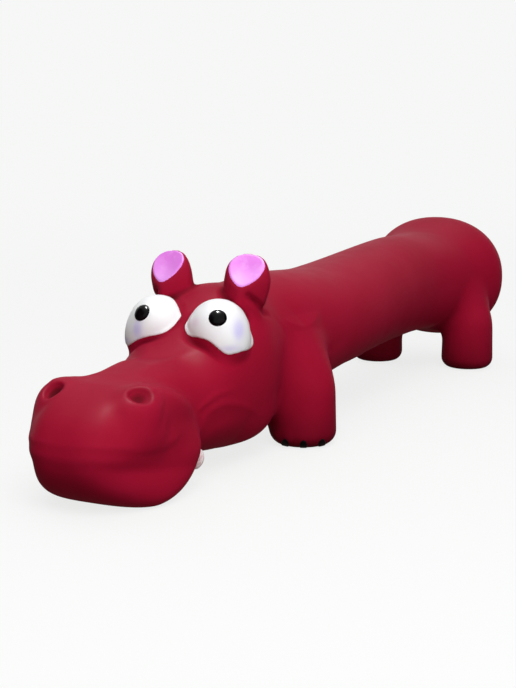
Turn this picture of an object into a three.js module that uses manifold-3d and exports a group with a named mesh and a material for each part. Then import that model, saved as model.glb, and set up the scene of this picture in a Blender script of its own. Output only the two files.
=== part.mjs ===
// A latex squeaky dog toy: a long-bodied hippopotamus that stands on four short legs and rests its chin.
// Millimetres, +Z up. The nose points to -Y, and the animal's left side is +X.
// The origin is on the floor, in the middle of the toy's length and width.

import * as THREE from 'three';
import { mergeVertices } from 'three/addons/utils/BufferGeometryUtils.js';
import Module from 'manifold-3d';

const wasm = await Module();
wasm.setup();

// Overall sizes
const HEAD_LENGTH = 75; // tip of the nose to the neck joint
const TRUNK_LENGTH = 165; // neck joint to the end of the rump
const WALL = 2; // thickness of the latex skin
const GAP = 0.3; // clearance between neighbouring pieces
const SOLE_CUT = 0.5; // depth of the flat under the chin and the feet
const TRUNK_SQUARENESS = 2.15; // exponents of the trunk's and the head's sections, 2 being an ellipse
const HEAD_SQUARENESS = 2.35;

// Trunk: distances back are from the neck joint
const NECK_HALF_WIDTH = 15.4;
const NECK_TOP = 41.8;
const NECK_BOTTOM = 7;
const CHEST_BACK = 17;
const CHEST_HALF_WIDTH = 16.5;
const CHEST_TOP = 42.5;
const CHEST_BOTTOM = 8.8;
const WAIST_BACK = 47;
const WAIST_HALF_WIDTH = 17.4;
const WAIST_TOP = 41.3;
const WAIST_BOTTOM = 12.4;
const LOIN_BACK = 104;
const LOIN_HALF_WIDTH = 15.2;
const LOIN_TOP = 45.2;
const LOIN_BOTTOM = 13.8;
const HAUNCH_BACK = 130.5;
const HAUNCH_HALF_WIDTH = 18.7;
const HAUNCH_TOP = 45.2;
const HAUNCH_BOTTOM = 12.6;
const RUMP_FORWARD = 14.5; // widest place of the rump, ahead of its end
const RUMP_HALF_WIDTH = 23.7;
const RUMP_TOP = 49.5;
const RUMP_BOTTOM = 8.4;
const RUMP_ROUND = 21; // length of the rounded end

// Head: distances back are from the tip of the nose, and distances ahead are from the neck joint
const MUZZLE_LENGTH = 36.4;
const MUZZLE_TOP = 26.2;
const MUZZLE_SIDE_SQUARENESS = 1.85; // exponent of the muzzle's outline seen from the side
const MUZZLE_FRONT_SQUARENESS = 3.2; // exponents of its outline seen from above
const MUZZLE_REAR_SQUARENESS = 5.2;
const MUZZLE_EDGE_SQUARENESS = 5.8; // exponent of its outline seen from the front
const MUZZLE_FLARE = 0.17; // share by which its rear is wider, and its front narrower, than its middle
const CHIN_HALF_WIDTH = 15.8;
const JAW_HEIGHT = 5;
const JAW_HALF_WIDTH = 15.1;
const MOUTH_HEIGHT = 9.6; // where the muzzle is pinched between jaw and lip
const MOUTH_HALF_WIDTH = 14;
const LIP_HEIGHT = 14;
const LIP_HALF_WIDTH = 14.7;
const SNOUT_HEIGHT = 19;
const SNOUT_HALF_WIDTH = 14.4;
const NOSE_BACK = 16; // where the bridge comes out of the muzzle
const NOSE_HALF_WIDTH = 10.8;
const NOSE_TOP = 24.6;
const BRIDGE_BACK = 30;
const BRIDGE_HALF_WIDTH = 12;
const BRIDGE_TOP = 28.3;
const BRIDGE_BOTTOM = 5;
const STOP_BACK = 41; // where the bridge turns up into the brow
const STOP_HALF_WIDTH = 14.1;
const STOP_TOP = 28.6;
const BROW_AHEAD = 21;
const BROW_HALF_WIDTH = 16.2;
const BROW_TOP = 37.4;
const CROWN_AHEAD = 12;
const CROWN_HALF_WIDTH = 16.9;
const CROWN_TOP = 41.9;
const CHEEK_BOTTOM = 3;
const NOSTRIL_SPACING = 20.6;
const NOSTRIL_BACK = 14.9;
const NOSTRIL_HEIGHT = 20.9;
const NOSTRIL_RADIUS = 4.7; // of the low dome round each nostril
const NOSTRIL_HOLE_RADIUS = 1.7;
const NOSTRIL_AIM = { out: 0.35, ahead: 0.75, up: 0.56 }; // where a nostril opens, seen from its dome's middle

// Legs
const FRONT_LEG_SPACING = 29.6;
const FRONT_LEG_BACK = 10; // behind the neck joint
const HIND_LEG_SPACING = 32.4;
const HIND_LEG_FORWARD = 30.3; // ahead of the end of the rump
const LEG_RADIUS = 8.6;
const SHIN_RADIUS = 8.2;
const THIGH_RADIUS = 6.8;
const FOOT_ROUND = 4; // rounding of the foot's lower edge
const SHIN_HEIGHT = 15;
const KNEE_HEIGHT = 22;
const LEG_LEAN = 4.5; // how far the top of a leg leans in
const FRONT_LEG_HEIGHT = 27;
const HIND_LEG_HEIGHT = 29;
const FOOT_TURN = 27; // degrees that a foot points outwards

// Ears
const EAR_SPACING = 20.3;
const EAR_AHEAD = 12.7; // of the neck joint
const EAR_HEIGHT = 15.2;
const EAR_HALF_WIDTH = 6.1;
const EAR_ROOT_HALF_WIDTH = 5.6;
const EAR_HALF_DEPTH = 4.3;
const EAR_BASE = 35; // height of its root, inside the head
const EAR_TIP_SQUARENESS = 3; // exponent of its rounded tip
const EAR_TURN = 7; // degrees that it faces outwards
const EAR_LEAN = 3; // degrees that it leans outwards
const EAR_FACE_LEAN = 37.5; // degrees that the flat face of an ear leans back
const EAR_FACE_FOOT = 7.6; // height above the root where that face starts, at the front of the ear
const LINING_THICKNESS = 0.7;

// Eyes
const EYE_SPACING = 16.5;
const EYE_AHEAD = 22.4; // of the neck joint
const EYE_HEIGHT = 33.3;
const EYE_RADIUS = 7;
const EYE_BAG_SPACING = 21.2; // of the swellings under and outside the eyeballs
const EYE_BAG_AHEAD = 23.2;
const EYE_BAG_HEIGHT = 29.6;
const EYE_BAG_RADIUS = 5.2;
const PUPIL_RADIUS = 2.4;
const PUPIL_LIFT = 31; // degrees above the eye's level line
const PUPIL_TURN = 18; // degrees outwards from straight ahead
const GAZE_TURN = 10; // degrees that both pupils look towards the animal's left
const PUPIL_BULGE = 0.8; // how far it stands out of the eye

// Teeth, claws and tail
const TOOTH_RADIUS = 1.5;
const TOOTH_LENGTH = 5.4;
const TOOTH_SPACING = 27.4;
const TOOTH_BACK = 34.2;
const TOOTH_BASE = 3.8;
const TOOTH_LEAN = 6; // degrees that it leans outwards
const CLAW_COUNT = 3;
const CLAW_RADIUS = 1.15;
const CLAW_LENGTH = 4.2;
const CLAW_STEP = 33; // degrees between neighbouring claws
const CLAW_HEIGHT = 2.6;
const CLAW_SLOPE = 14; // degrees that its top leans back
const CLAW_SINK = 0.45; // how deep its centre line lies in the foot
const TAIL_RADIUS = 2.1;
const TAIL_LENGTH = 11;
const TAIL_HEIGHT = 41; // of its middle
const TAIL_FORWARD = 4.2; // of its middle, ahead of the end of the rump
const TAIL_SLOPE = 35; // degrees from upright, along the rump

// Squeaker, pressed into the belly
const SQUEAKER_BACK = 56; // behind the neck joint
const BARREL_RADIUS = 6.2;
const BARREL_HEIGHT = 15;
const BARREL_WALL = 1.2;
const FLANGE_RADIUS = 8.6;
const FLANGE_THICKNESS = 1.1;
const PORT_POCKET = 3.2; // how far above the lowest line of the belly the latex rim's outer face lies
const PORT_THICKNESS = 3; // of the latex rim that it grips
const PORT_RIM_RADIUS = 10.6;
const PORT_COLLAR = 5.5; // height of the thick latex collar round the squeaker
const AIR_HOLE_RADIUS = 1.6;
const CAP_THICKNESS = 1.4;
const CAP_CHAMFER = 0.5;
const CAP_LIP = 1.6;
const CAP_HOLE_COUNT = 5;
const CAP_HOLE_RADIUS = 0.9;
const REED_WIDTH = 4.4;
const REED_LENGTH = 9.5;
const REED_THICKNESS = 0.4;
const REED_ROOT = 2.6; // length held under the clamp
const TROUGH_WIDTH = 2.6;
const TROUGH_DEPTH = 2.2;
const FILLING_GAP = 0.5;

// Fineness of the meshes
const TRUNK_SEGMENTS = 28;
const TRUNK_RINGS = 24;
const HEAD_SEGMENTS = 24;
const HEAD_RINGS = 14;
const LINER_SEGMENTS = 16;
const LINER_RINGS = 10;
const LEG_SEGMENTS = 18;
const FOOT_RINGS = 4;
const ROUND_SEGMENTS = 24;
const ROUND_RINGS = 16;
const MEDIUM_SEGMENTS = 16;
const MEDIUM_RINGS = 10;
const SMALL_SEGMENTS = 12;
const SMALL_RINGS = 8;
const CAP_HOLE_SEGMENTS = 8;
const RING_CROWDING = 0.85; // exponent that sets how closely rings crowd towards a rounded end
const PAST = 1; // how far a cutting tool reaches past what it cuts

const LENGTH = HEAD_LENGTH + TRUNK_LENGTH;
const NOSE_Y = -LENGTH / 2;
const NECK_Y = NOSE_Y + HEAD_LENGTH;
const RUMP_Y = LENGTH / 2;
const SIDES = { left: 1, right: -1 };

const radians = THREE.MathUtils.degToRad;

// Materials
const latex = () => new THREE.MeshStandardMaterial({ color: 0x9e1a32, roughness: 0.55, metalness: 0 });
const paint = (color, roughness) => new THREE.MeshStandardMaterial({ color, roughness, metalness: 0 });
const plastic = (color) => new THREE.MeshStandardMaterial({ color, roughness: 0.35, metalness: 0 });

// Solids and meshes

function toSolid(geometry) {
  const bare = geometry.clone();
  bare.deleteAttribute('normal');
  bare.deleteAttribute('uv');
  const merged = mergeVertices(bare, 1e-4);
  const vertProperties = new Float32Array(merged.attributes.position.array);
  const triVerts = new Uint32Array(merged.index.array);
  return new wasm.Manifold(new wasm.Mesh({ numProp: 3, vertProperties, triVerts }));
}

function toMesh(name, solid, material) {
  const { vertProperties, triVerts } = solid.getMesh();
  const geometry = new THREE.BufferGeometry();
  geometry.setAttribute('position', new THREE.BufferAttribute(new Float32Array(vertProperties), 3));
  geometry.setIndex(new THREE.BufferAttribute(new Uint32Array(triVerts), 1));
  geometry.computeVertexNormals();
  const mesh = new THREE.Mesh(geometry, material);
  mesh.name = name;
  return mesh;
}

function joined(solids) {
  return solids.reduce((whole, solid) => whole.add(solid));
}

function cut(solid, tools) {
  return tools.reduce((rest, tool) => rest.subtract(tool), solid);
}

// A skin of rings, each a list of points that turns anticlockwise about the direction of travel.
// A ring of one point closes an end to a tip, and a flat end gets a point at its middle.
function loft(rings) {
  const positions = [];
  const indices = [];
  const starts = rings.map((ring) => {
    const start = positions.length / 3;
    ring.forEach((point) => positions.push(point.x, point.y, point.z));
    return start;
  });
  for (let i = 0; i + 1 < rings.length; i += 1) {
    const near = rings[i].length;
    const far = rings[i + 1].length;
    const count = Math.max(near, far);
    for (let j = 0; j < count; j += 1) {
      const next = (j + 1) % count;
      const a = starts[i] + (near > 1 ? j : 0);
      const b = starts[i] + (near > 1 ? next : 0);
      const c = starts[i + 1] + (far > 1 ? next : 0);
      const d = starts[i + 1] + (far > 1 ? j : 0);
      if (near > 1) {
        indices.push(a, b, c);
      }
      if (far > 1) {
        indices.push(a, c, d);
      }
    }
  }
  const geometry = new THREE.BufferGeometry();
  geometry.setAttribute('position', new THREE.Float32BufferAttribute(positions, 3));
  geometry.setIndex(indices);
  return toSolid(geometry);
}

// A smooth curve through [place, value] pairs, level past its ends.
function smooth(points) {
  const slope = (i) => {
    if (i === 0 || i === points.length - 1) {
      return 0;
    }
    return (points[i + 1][1] - points[i - 1][1]) / (points[i + 1][0] - points[i - 1][0]);
  };
  return (place) => {
    const last = points.length - 1;
    if (place <= points[0][0]) {
      return points[0][1];
    }
    if (place >= points[last][0]) {
      return points[last][1];
    }
    const i = points.findIndex((point, k) => k < last && place < points[k + 1][0]);
    const span = points[i + 1][0] - points[i][0];
    const t = (place - points[i][0]) / span;
    const rise = points[i + 1][1] - points[i][1];
    const startSlope = slope(i) * span;
    const endSlope = slope(i + 1) * span;
    const bend = 3 * rise - 2 * startSlope - endSlope;
    const twist = startSlope + endSlope - 2 * rise;
    return points[i][1] + t * (startSlope + t * (bend + t * twist));
  };
}

const power = (value, exponent) => Math.sign(value) * Math.abs(value) ** (2 / exponent);

// A form along Y. stations: [place, half width, top, bottom]. Rounded ends have a length and are tips.
function alongForm({ stations, from, to, roundFrom = 0, roundTo = 0, exponent = 2, segments, rings, grow = 0 }) {
  const width = smooth(stations.map((s) => [s[0], s[1]]));
  const top = smooth(stations.map((s) => [s[0], s[2]]));
  const bottom = smooth(stations.map((s) => [s[0], s[3]]));
  const start = roundFrom > 0 ? from - grow : from;
  const end = roundTo > 0 ? to + grow : to;
  const startRound = roundFrom > 0 ? roundFrom + grow : 0;
  const endRound = roundTo > 0 ? roundTo + grow : 0;
  const shrink = (y) => {
    const early = startRound > 0 ? Math.max(0, (start + startRound - y) / startRound) : 0;
    const late = endRound > 0 ? Math.max(0, (y - end + endRound) / endRound) : 0;
    return Math.max(0, 1 - Math.max(early, late) ** exponent) ** (1 / exponent);
  };
  const place = (i) => {
    const t = i / rings;
    const eased = (1 - Math.cos(Math.PI * t)) / 2;
    if (startRound > 0 && endRound > 0) {
      return start + (end - start) * eased;
    }
    if (endRound > 0) {
      return start + (end - start) * Math.sin((Math.PI * t) / 2) ** RING_CROWDING;
    }
    return start + (end - start) * t;
  };
  const list = [];
  for (let i = 0; i <= rings; i += 1) {
    const y = place(i);
    const size = shrink(y);
    const middle = (top(y) + bottom(y)) / 2;
    if (size < 1e-3) {
      list.push([new THREE.Vector3(0, y, middle)]);
      continue;
    }
    const w = (width(y) + grow) * size;
    const h = ((top(y) - bottom(y)) / 2 + grow) * size;
    const ring = [];
    for (let j = 0; j < segments; j += 1) {
      const angle = (2 * Math.PI * j) / segments;
      const x = w * power(Math.sin(angle), exponent);
      const z = middle + h * power(Math.cos(angle), exponent);
      ring.push(new THREE.Vector3(x, y, z));
    }
    list.push(ring);
  }
  const cap = (ring) => {
    const middle = new THREE.Vector3();
    ring.forEach((point) => middle.addScaledVector(point, 1 / ring.length));
    return [middle];
  };
  if (list[0].length > 1) {
    list.unshift(cap(list[0]));
  }
  if (list[list.length - 1].length > 1) {
    list.push(cap(list[list.length - 1]));
  }
  return loft(list);
}

// A round form along Z. stations: [height, radius across X, radius across Y, shift in X].
function uprightForm(stations, segments) {
  const rings = stations.map(([z, across, deep, shift]) => {
    if (across === 0) {
      return [new THREE.Vector3(shift, 0, z)];
    }
    const ring = [];
    for (let j = 0; j < segments; j += 1) {
      const angle = (2 * Math.PI * j) / segments;
      ring.push(new THREE.Vector3(shift + across * Math.cos(angle), deep * Math.sin(angle), z));
    }
    return ring;
  });
  return loft(rings);
}

function ellipsoid(halfX, halfY, halfZ, segments, rings) {
  const geometry = new THREE.SphereGeometry(1, segments, rings);
  geometry.rotateX(Math.PI / 2);
  geometry.scale(halfX, halfY, halfZ);
  return toSolid(geometry);
}

function boxBetween(low, high) {
  const size = new THREE.Vector3().subVectors(high, low);
  const middle = new THREE.Vector3().addVectors(low, high).multiplyScalar(0.5);
  const geometry = new THREE.BoxGeometry(size.x, size.y, size.z);
  geometry.translate(middle.x, middle.y, middle.z);
  return toSolid(geometry);
}

// A turned form about Z from [radius, height] pairs that start and end on the axis or close on themselves.
function turned(profile, segments) {
  const points = profile.map(([radius, height]) => new THREE.Vector2(radius, height));
  const geometry = new THREE.LatheGeometry(points, segments);
  geometry.rotateX(Math.PI / 2);
  return toSolid(geometry);
}

function rod(radius, low, high, segments) {
  return turned([[0, low], [radius, low], [radius, high], [0, high]], segments);
}

function placed(solid, matrix) {
  return solid.transform(matrix.elements.slice());
}

function pose(position, turns) {
  const rotation = new THREE.Euler(radians(turns.x ?? 0), radians(turns.y ?? 0), radians(turns.z ?? 0), 'ZYX');
  const quaternion = new THREE.Quaternion().setFromEuler(rotation);
  return new THREE.Matrix4().compose(position, quaternion, new THREE.Vector3(1, 1, 1));
}

function mirrored(solid) {
  return solid.mirror([1, 0, 0]);
}

const FAR = 2 * LENGTH;
const belowFloor = boxBetween(new THREE.Vector3(-FAR, -FAR, -FAR), new THREE.Vector3(FAR, FAR, 0));

// Trunk

const trunkStations = [
  [NECK_Y, NECK_HALF_WIDTH, NECK_TOP, NECK_BOTTOM],
  [NECK_Y + CHEST_BACK, CHEST_HALF_WIDTH, CHEST_TOP, CHEST_BOTTOM],
  [NECK_Y + WAIST_BACK, WAIST_HALF_WIDTH, WAIST_TOP, WAIST_BOTTOM],
  [NECK_Y + LOIN_BACK, LOIN_HALF_WIDTH, LOIN_TOP, LOIN_BOTTOM],
  [NECK_Y + HAUNCH_BACK, HAUNCH_HALF_WIDTH, HAUNCH_TOP, HAUNCH_BOTTOM],
  [RUMP_Y - RUMP_FORWARD, RUMP_HALF_WIDTH, RUMP_TOP, RUMP_BOTTOM],
];

function trunkForm(grow, reach, segments, rings) {
  return alongForm({
    stations: trunkStations,
    from: NECK_Y - reach,
    to: RUMP_Y,
    roundTo: RUMP_ROUND,
    exponent: TRUNK_SQUARENESS,
    segments,
    rings,
    grow,
  });
}

// Head

const craniumStations = [
  [NOSE_Y + NOSE_BACK, NOSE_HALF_WIDTH, NOSE_TOP, BRIDGE_BOTTOM],
  [NOSE_Y + BRIDGE_BACK, BRIDGE_HALF_WIDTH, BRIDGE_TOP, BRIDGE_BOTTOM],
  [NOSE_Y + STOP_BACK, STOP_HALF_WIDTH, STOP_TOP, BRIDGE_BOTTOM],
  [NECK_Y - BROW_AHEAD, BROW_HALF_WIDTH, BROW_TOP, CHEEK_BOTTOM],
  [NECK_Y - CROWN_AHEAD, CROWN_HALF_WIDTH, CROWN_TOP, CHEEK_BOTTOM],
  [NECK_Y, NECK_HALF_WIDTH, NECK_TOP, NECK_BOTTOM],
];

function craniumForm(grow, reach, segments, rings) {
  return alongForm({
    stations: craniumStations,
    from: NOSE_Y + NOSE_BACK,
    to: NECK_Y + reach,
    exponent: HEAD_SQUARENESS,
    segments,
    rings,
    grow,
  });
}

// The muzzle is stacked from level outlines, rounded in front and squarer behind.
function muzzleForm(grow, segments, rings) {
  const width = smooth([
    [0, CHIN_HALF_WIDTH],
    [JAW_HEIGHT, JAW_HALF_WIDTH],
    [MOUTH_HEIGHT, MOUTH_HALF_WIDTH],
    [LIP_HEIGHT, LIP_HALF_WIDTH],
    [SNOUT_HEIGHT, SNOUT_HALF_WIDTH],
  ]);
  const middle = (MUZZLE_TOP - SOLE_CUT) / 2;
  const half = (MUZZLE_TOP + SOLE_CUT) / 2 + grow;
  const halfLength = MUZZLE_LENGTH / 2 + grow;
  const list = [];
  for (let i = 0; i <= rings; i += 1) {
    const rise = -Math.cos((Math.PI * i) / rings);
    const z = middle + half * rise;
    if (i === 0 || i === rings) {
      list.push([new THREE.Vector3(0, NOSE_Y + MUZZLE_LENGTH / 2, z)]);
      continue;
    }
    const shorter = (1 - Math.abs(rise) ** MUZZLE_SIDE_SQUARENESS) ** (1 / MUZZLE_SIDE_SQUARENESS);
    const narrower = (1 - Math.abs(rise) ** MUZZLE_EDGE_SQUARENESS) ** (1 / MUZZLE_EDGE_SQUARENESS);
    const ring = [];
    for (let j = 0; j < segments; j += 1) {
      const angle = (2 * Math.PI * j) / segments;
      const exponent = Math.sin(angle) < 0 ? MUZZLE_FRONT_SQUARENESS : MUZZLE_REAR_SQUARENESS;
      const y = halfLength * shorter * power(Math.sin(angle), exponent);
      const flare = 1 + (MUZZLE_FLARE * y) / halfLength;
      const x = (width(z) + grow) * flare * narrower * power(Math.cos(angle), exponent);
      ring.push(new THREE.Vector3(x, NOSE_Y + MUZZLE_LENGTH / 2 + y, z));
    }
    list.push(ring);
  }
  return loft(list);
}

function nostrilPlace(side) {
  return new THREE.Vector3((side * NOSTRIL_SPACING) / 2, NOSE_Y + NOSTRIL_BACK, NOSTRIL_HEIGHT);
}

function nostrilDome(side, grow) {
  const radius = NOSTRIL_RADIUS + grow;
  return ellipsoid(radius, radius, radius, SMALL_SEGMENTS, SMALL_RINGS).translate(nostrilPlace(side).toArray());
}

function nostrilHole(side) {
  const direction = new THREE.Vector3(side * NOSTRIL_AIM.out, -NOSTRIL_AIM.ahead, NOSTRIL_AIM.up).normalize();
  const place = nostrilPlace(side).addScaledVector(direction, NOSTRIL_RADIUS);
  const hole = ellipsoid(NOSTRIL_HOLE_RADIUS, NOSTRIL_HOLE_RADIUS, NOSTRIL_HOLE_RADIUS, SMALL_SEGMENTS, SMALL_RINGS);
  return hole.translate(place.toArray());
}

function headForm(grow, reach, segments, rings) {
  return joined([
    craniumForm(grow, reach, segments, rings),
    muzzleForm(grow, segments, rings),
  ]);
}

// Legs: each is modelled standing at the origin of its own frame, and then moved to its place

const legPlaces = {
  front_left: { side: SIDES.left, spacing: FRONT_LEG_SPACING, y: NECK_Y + FRONT_LEG_BACK, top: FRONT_LEG_HEIGHT },
  front_right: { side: SIDES.right, spacing: FRONT_LEG_SPACING, y: NECK_Y + FRONT_LEG_BACK, top: FRONT_LEG_HEIGHT },
  hind_left: { side: SIDES.left, spacing: HIND_LEG_SPACING, y: RUMP_Y - HIND_LEG_FORWARD, top: HIND_LEG_HEIGHT },
  hind_right: { side: SIDES.right, spacing: HIND_LEG_SPACING, y: RUMP_Y - HIND_LEG_FORWARD, top: HIND_LEG_HEIGHT },
};

function legForm(place, grow, segments) {
  const radius = LEG_RADIUS + grow;
  const base = -SOLE_CUT - grow;
  const round = FOOT_ROUND + grow;
  const stations = [[base, 0, 0, 0]];
  for (let i = 0; i <= FOOT_RINGS; i += 1) {
    const angle = (Math.PI / 2) * (i / FOOT_RINGS);
    const r = radius - round * (1 - Math.sin(angle));
    stations.push([base + round * (1 - Math.cos(angle)), r, r, 0]);
  }
  const shin = SHIN_RADIUS + grow;
  const thigh = THIGH_RADIUS + grow;
  stations.push([SHIN_HEIGHT, shin, shin, 0]);
  stations.push([KNEE_HEIGHT, shin, shin, -LEG_LEAN / 2]);
  stations.push([place.top, thigh, thigh, -LEG_LEAN]);
  stations.push([place.top, 0, 0, -LEG_LEAN]);
  const leg = uprightForm(stations, segments);
  const standing = place.side > 0 ? leg : mirrored(leg);
  return standing.translate([(place.side * place.spacing) / 2, place.y, 0]);
}

// Claws: three on a front foot, round the front of the foot where it points

function clawForm(place, index) {
  const turn = FOOT_TURN + (index - (CLAW_COUNT - 1) / 2) * CLAW_STEP;
  const reach = LEG_RADIUS - CLAW_SINK;
  const x = (place.side * place.spacing) / 2 + place.side * reach * Math.sin(radians(turn));
  const y = place.y - reach * Math.cos(radians(turn));
  const claw = ellipsoid(CLAW_RADIUS, CLAW_RADIUS, CLAW_LENGTH / 2, SMALL_SEGMENTS, SMALL_RINGS);
  const facing = pose(new THREE.Vector3(x, y, CLAW_HEIGHT), { z: place.side * turn, x: -CLAW_SLOPE });
  return placed(claw, facing);
}

// Ears

function earFrame(side) {
  const root = new THREE.Vector3((side * EAR_SPACING) / 2, NECK_Y - EAR_AHEAD, EAR_BASE);
  return pose(root, { z: side * EAR_TURN, y: side * EAR_LEAN });
}

function earBlank(grow) {
  const stations = [[-grow, 0, 0, 0]];
  for (let i = 0; i < SMALL_RINGS; i += 1) {
    const t = Math.sin((Math.PI / 2) * (i / SMALL_RINGS));
    const round = Math.sqrt(1 - t ** EAR_TIP_SQUARENESS);
    const swell = (EAR_HALF_WIDTH - EAR_ROOT_HALF_WIDTH) * Math.sin(Math.PI * t);
    const across = (EAR_ROOT_HALF_WIDTH + swell + grow) * round;
    const deep = (EAR_HALF_DEPTH + grow) * round;
    stations.push([-grow + (EAR_HEIGHT + 2 * grow) * t, across, deep, 0]);
  }
  stations.push([EAR_HEIGHT + grow, 0, 0, 0]);
  return uprightForm(stations, MEDIUM_SEGMENTS);
}

// Everything ahead of the ear's slanting face, or of a plane that far behind it.
function aheadOfFace(behind) {
  const block = boxBetween(new THREE.Vector3(-FAR, -FAR, -FAR), new THREE.Vector3(FAR, behind, FAR));
  return placed(block, pose(new THREE.Vector3(0, -EAR_HALF_DEPTH, EAR_FACE_FOOT), { x: -EAR_FACE_LEAN }));
}

// Eyes

function eyePlace(side) {
  return new THREE.Vector3((side * EYE_SPACING) / 2, NECK_Y - EYE_AHEAD, EYE_HEIGHT);
}

function eyeForm(side, grow) {
  const radius = EYE_RADIUS + grow;
  const bagRadius = EYE_BAG_RADIUS + grow;
  const bagPlace = new THREE.Vector3((side * EYE_BAG_SPACING) / 2, NECK_Y - EYE_BAG_AHEAD, EYE_BAG_HEIGHT);
  return joined([
    ellipsoid(radius, radius, radius, ROUND_SEGMENTS, ROUND_RINGS).translate(eyePlace(side).toArray()),
    ellipsoid(bagRadius, bagRadius, bagRadius, MEDIUM_SEGMENTS, MEDIUM_RINGS).translate(bagPlace.toArray()),
  ]);
}

function pupilForm(side) {
  const degrees = PUPIL_TURN * side + GAZE_TURN;
  const turn = radians(degrees);
  const lift = radians(PUPIL_LIFT);
  const ahead = new THREE.Vector3(Math.sin(turn) * Math.cos(lift), -Math.cos(turn) * Math.cos(lift), Math.sin(lift));
  const place = eyePlace(side).addScaledVector(ahead, EYE_RADIUS);
  const pupil = ellipsoid(PUPIL_RADIUS, PUPIL_BULGE + GAP, PUPIL_RADIUS, MEDIUM_SEGMENTS, MEDIUM_RINGS);
  return placed(pupil, pose(place, { z: degrees, x: -PUPIL_LIFT }));
}

// Teeth and tail

function toothForm(side) {
  const half = TOOTH_LENGTH / 2;
  const tooth = ellipsoid(TOOTH_RADIUS, TOOTH_RADIUS, half, SMALL_SEGMENTS, SMALL_RINGS);
  const place = new THREE.Vector3((side * TOOTH_SPACING) / 2, NOSE_Y + TOOTH_BACK, TOOTH_BASE + half);
  return placed(tooth, pose(place, { y: side * TOOTH_LEAN }));
}

function tailForm() {
  const half = TAIL_LENGTH / 2;
  const tail = ellipsoid(TAIL_RADIUS, TAIL_RADIUS, half, SMALL_SEGMENTS, SMALL_RINGS);
  const place = new THREE.Vector3(0, RUMP_Y - TAIL_FORWARD, TAIL_HEIGHT);
  return placed(tail, pose(place, { x: TAIL_SLOPE }));
}

// Squeaker: its frame has the axis along Z through the belly, with zero at the outer face of the latex rim

const SQUEAKER_Y = NECK_Y + SQUEAKER_BACK;
const trunkBottom = smooth(trunkStations.map((s) => [s[0], s[3]]));
const PORT_Z = trunkBottom(SQUEAKER_Y) + PORT_POCKET;
const BORE_RADIUS = BARREL_RADIUS - BARREL_WALL;
const BARREL_LOW = -GAP - FLANGE_THICKNESS;
const BARREL_HIGH = BARREL_LOW + BARREL_HEIGHT;
const REED_TOP = BARREL_HIGH - GAP;
const REED_LOW = REED_TOP - REED_LENGTH;

const atBelly = (solid) => solid.translate([0, SQUEAKER_Y, PORT_Z]);

function squeakerBarrel() {
  const inner = PORT_THICKNESS + GAP;
  const barrel = turned(
    [
      [AIR_HOLE_RADIUS, BARREL_LOW],
      [FLANGE_RADIUS, BARREL_LOW],
      [FLANGE_RADIUS, -GAP],
      [BARREL_RADIUS, -GAP],
      [BARREL_RADIUS, inner],
      [FLANGE_RADIUS, inner],
      [FLANGE_RADIUS - FLANGE_THICKNESS, inner + FLANGE_THICKNESS],
      [BARREL_RADIUS, inner + FLANGE_THICKNESS],
      [BARREL_RADIUS, BARREL_HIGH],
      [BORE_RADIUS, BARREL_HIGH],
      [BORE_RADIUS, BARREL_LOW + BARREL_WALL],
      [AIR_HOLE_RADIUS, BARREL_LOW + BARREL_WALL],
      [AIR_HOLE_RADIUS, BARREL_LOW],
    ],
    ROUND_SEGMENTS,
  );
  return barrel;
}

function reedBed() {
  const low = BARREL_LOW + BARREL_WALL + GAP;
  const round = rod(BORE_RADIUS - GAP, low, REED_TOP, ROUND_SEGMENTS);
  const reach = BARREL_RADIUS;
  const frontHalf = boxBetween(new THREE.Vector3(-reach, -reach, low - PAST), new THREE.Vector3(reach, 0, REED_TOP + PAST));
  const half = TROUGH_WIDTH / 2;
  const trough = boxBetween(
    new THREE.Vector3(-half, -PAST, low - PAST),
    new THREE.Vector3(half, TROUGH_DEPTH, REED_TOP - REED_ROOT),
  );
  return cut(round, [frontHalf, trough]);
}

function reed() {
  const half = REED_WIDTH / 2;
  const back = -GAP;
  const front = back - REED_THICKNESS;
  return boxBetween(new THREE.Vector3(-half, front, REED_LOW), new THREE.Vector3(half, back, REED_TOP));
}

function reedClamp() {
  const low = REED_TOP - REED_ROOT;
  const face = -2 * GAP - REED_THICKNESS;
  const round = rod(BORE_RADIUS - GAP, low, REED_TOP, ROUND_SEGMENTS);
  const reach = BARREL_RADIUS;
  const backPart = boxBetween(new THREE.Vector3(-reach, face, low - PAST), new THREE.Vector3(reach, reach, REED_TOP + PAST));
  const vent = boxBetween(
    new THREE.Vector3(-TROUGH_WIDTH / 2, -reach, low - PAST),
    new THREE.Vector3(TROUGH_WIDTH / 2, face - PAST, REED_TOP + PAST),
  );
  return cut(round, [backPart, vent]);
}

function squeakerCap() {
  const low = BARREL_HIGH + GAP;
  const inside = BARREL_RADIUS + GAP;
  const outside = inside + CAP_THICKNESS;
  const cap = turned(
    [
      [0, low],
      [inside, low],
      [inside, low - CAP_LIP],
      [outside, low - CAP_LIP],
      [outside, low + CAP_THICKNESS - CAP_CHAMFER],
      [outside - CAP_CHAMFER, low + CAP_THICKNESS],
      [0, low + CAP_THICKNESS],
    ],
    ROUND_SEGMENTS,
  );
  const holes = [];
  for (let i = 0; i < CAP_HOLE_COUNT; i += 1) {
    const angle = (2 * Math.PI * i) / CAP_HOLE_COUNT;
    const hole = rod(CAP_HOLE_RADIUS, low - PAST, low + CAP_THICKNESS + PAST, CAP_HOLE_SEGMENTS);
    const reach = BARREL_RADIUS / 2;
    holes.push(hole.translate([reach * Math.cos(angle), reach * Math.sin(angle), 0]));
  }
  return cut(cap, holes);
}

function squeakerRoom() {
  const outside = Math.max(FLANGE_RADIUS, BARREL_RADIUS + 2 * GAP + CAP_THICKNESS) + GAP;
  return rod(outside, BARREL_LOW, BARREL_HIGH + GAP + CAP_THICKNESS + GAP, ROUND_SEGMENTS);
}

// Assembly

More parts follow.
